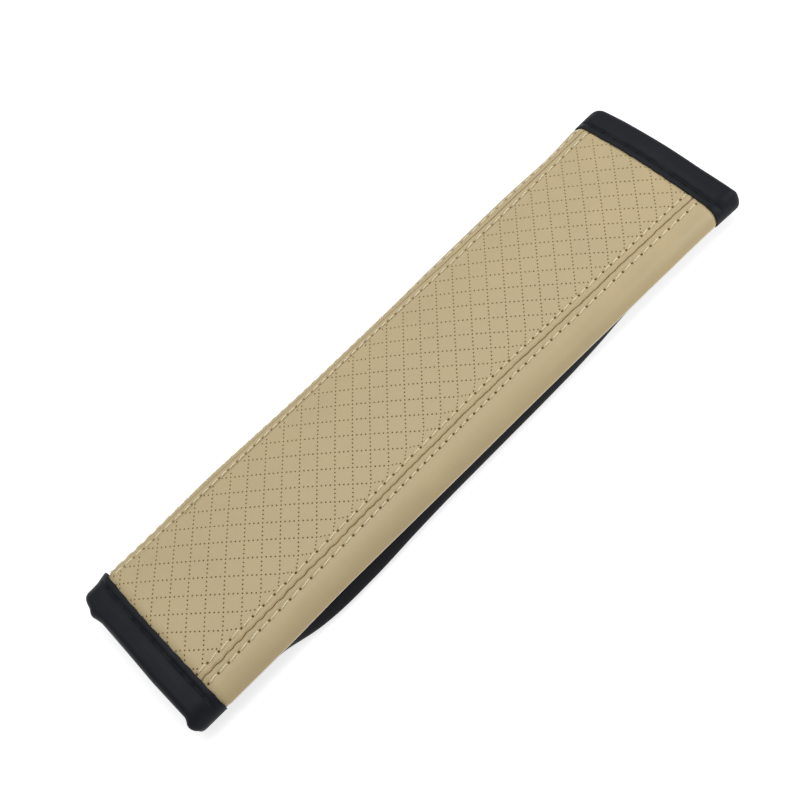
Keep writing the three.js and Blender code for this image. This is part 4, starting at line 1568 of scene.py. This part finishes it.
def studio_floor():
    """Matt white paper. Light Path lifts it to white where the camera sees it, and the pad's own
    shadow still darkens it."""
    material = bpy.data.materials.new("White paper, matt")
    material.use_nodes = True
    tree = material.node_tree
    tree.nodes.remove(tree.nodes["Principled BSDF"])
    paper = add_node(tree, "ShaderNodeBsdfDiffuse", {"Color": PAPER})
    lift = add_node(tree, "ShaderNodeMath", {
        0: seen_directly(tree), 1: PAPER_LIFT}, operation="MULTIPLY")
    glow = add_node(tree, "ShaderNodeEmission", {"Color": WHITE, "Strength": lift})
    both = add_node(tree, "ShaderNodeAddShader", {0: paper, 1: glow})
    tree.links.new(both.outputs[0], tree.nodes["Material Output"].inputs["Surface"])
    return material


class PAD_OT_stage(bpy.types.Operator):
    """Sets the floor, the light and the camera"""

    bl_idname = "pad.stage"
    bl_label = "Stage"

    def execute(self, context):
        scene = context.scene
        scene.view_settings.view_transform = "Standard"
        corners = [(x * FLOOR_REACH, y * FLOOR_REACH, 0) for x, y in SQUARE]
        floor = add_mesh("floor", corners, [(0, 1, 2, 3)])
        floor.data.materials.append(studio_floor())
        world = bpy.data.worlds.new("studio")
        world.use_nodes = True
        tree = world.node_tree
        strength = add_node(tree, "ShaderNodeMix", {0: seen_directly(tree), 2: WORLD_LIGHT, 3: 1.0})
        sky = tree.nodes["Background"]
        sky.inputs["Color"].default_value = WHITE
        tree.links.new(strength.outputs[0], sky.inputs["Strength"])
        scene.world = world
        for name, lamp in LAMPS.items():
            area_light(name, *lamp)
        aim_camera(scene)
        return {"FINISHED"}


class PAD_PT_sidebar(bpy.types.Panel):
    """Lists the sizes, the colours and the steps"""

    bl_idname = "PAD_PT_sidebar"
    bl_label = "Shoulder pad"
    bl_space_type = "VIEW_3D"
    bl_region_type = "UI"
    bl_category = "Shoulder pad"

    def draw(self, context):
        for group in SETTINGS:
            held = getattr(context.scene, group)
            for name in held.bl_rna.properties.keys():
                if name not in {"rna_type", "name"}:
                    self.layout.prop(held, name)
        for step in STEPS:
            self.layout.operator(step.bl_idname)


SETTINGS = {
    "pad_leather": PadLeather,
    "pad_thread": PadThread,
    "pad_bindings": PadBindings,
    "pad_colours": PadColours,
}
STEPS = (
    PAD_OT_stage, PAD_OT_foam, PAD_OT_leather_panels, PAD_OT_topstitching, PAD_OT_lining,
    PAD_OT_flaps, PAD_OT_fasteners, PAD_OT_fastener_sewing, PAD_OT_bindings,
    PAD_OT_binding_stitching,
)


def register():
    for group in (*SETTINGS.values(), *STEPS, PAD_PT_sidebar):
        bpy.utils.register_class(group)
    for name, group in SETTINGS.items():
        setattr(bpy.types.Scene, name, PointerProperty(type=group))


def unregister():
    for name in SETTINGS:
        delattr(bpy.types.Scene, name)
    for group in reversed((*SETTINGS.values(), *STEPS, PAD_PT_sidebar)):
        bpy.utils.unregister_class(group)


def main():
    register()
    for step in STEPS:
        area, verb = step.bl_idname.split(".")
        getattr(getattr(bpy.ops, area), verb)()


if __name__ == "__main__":
    main()
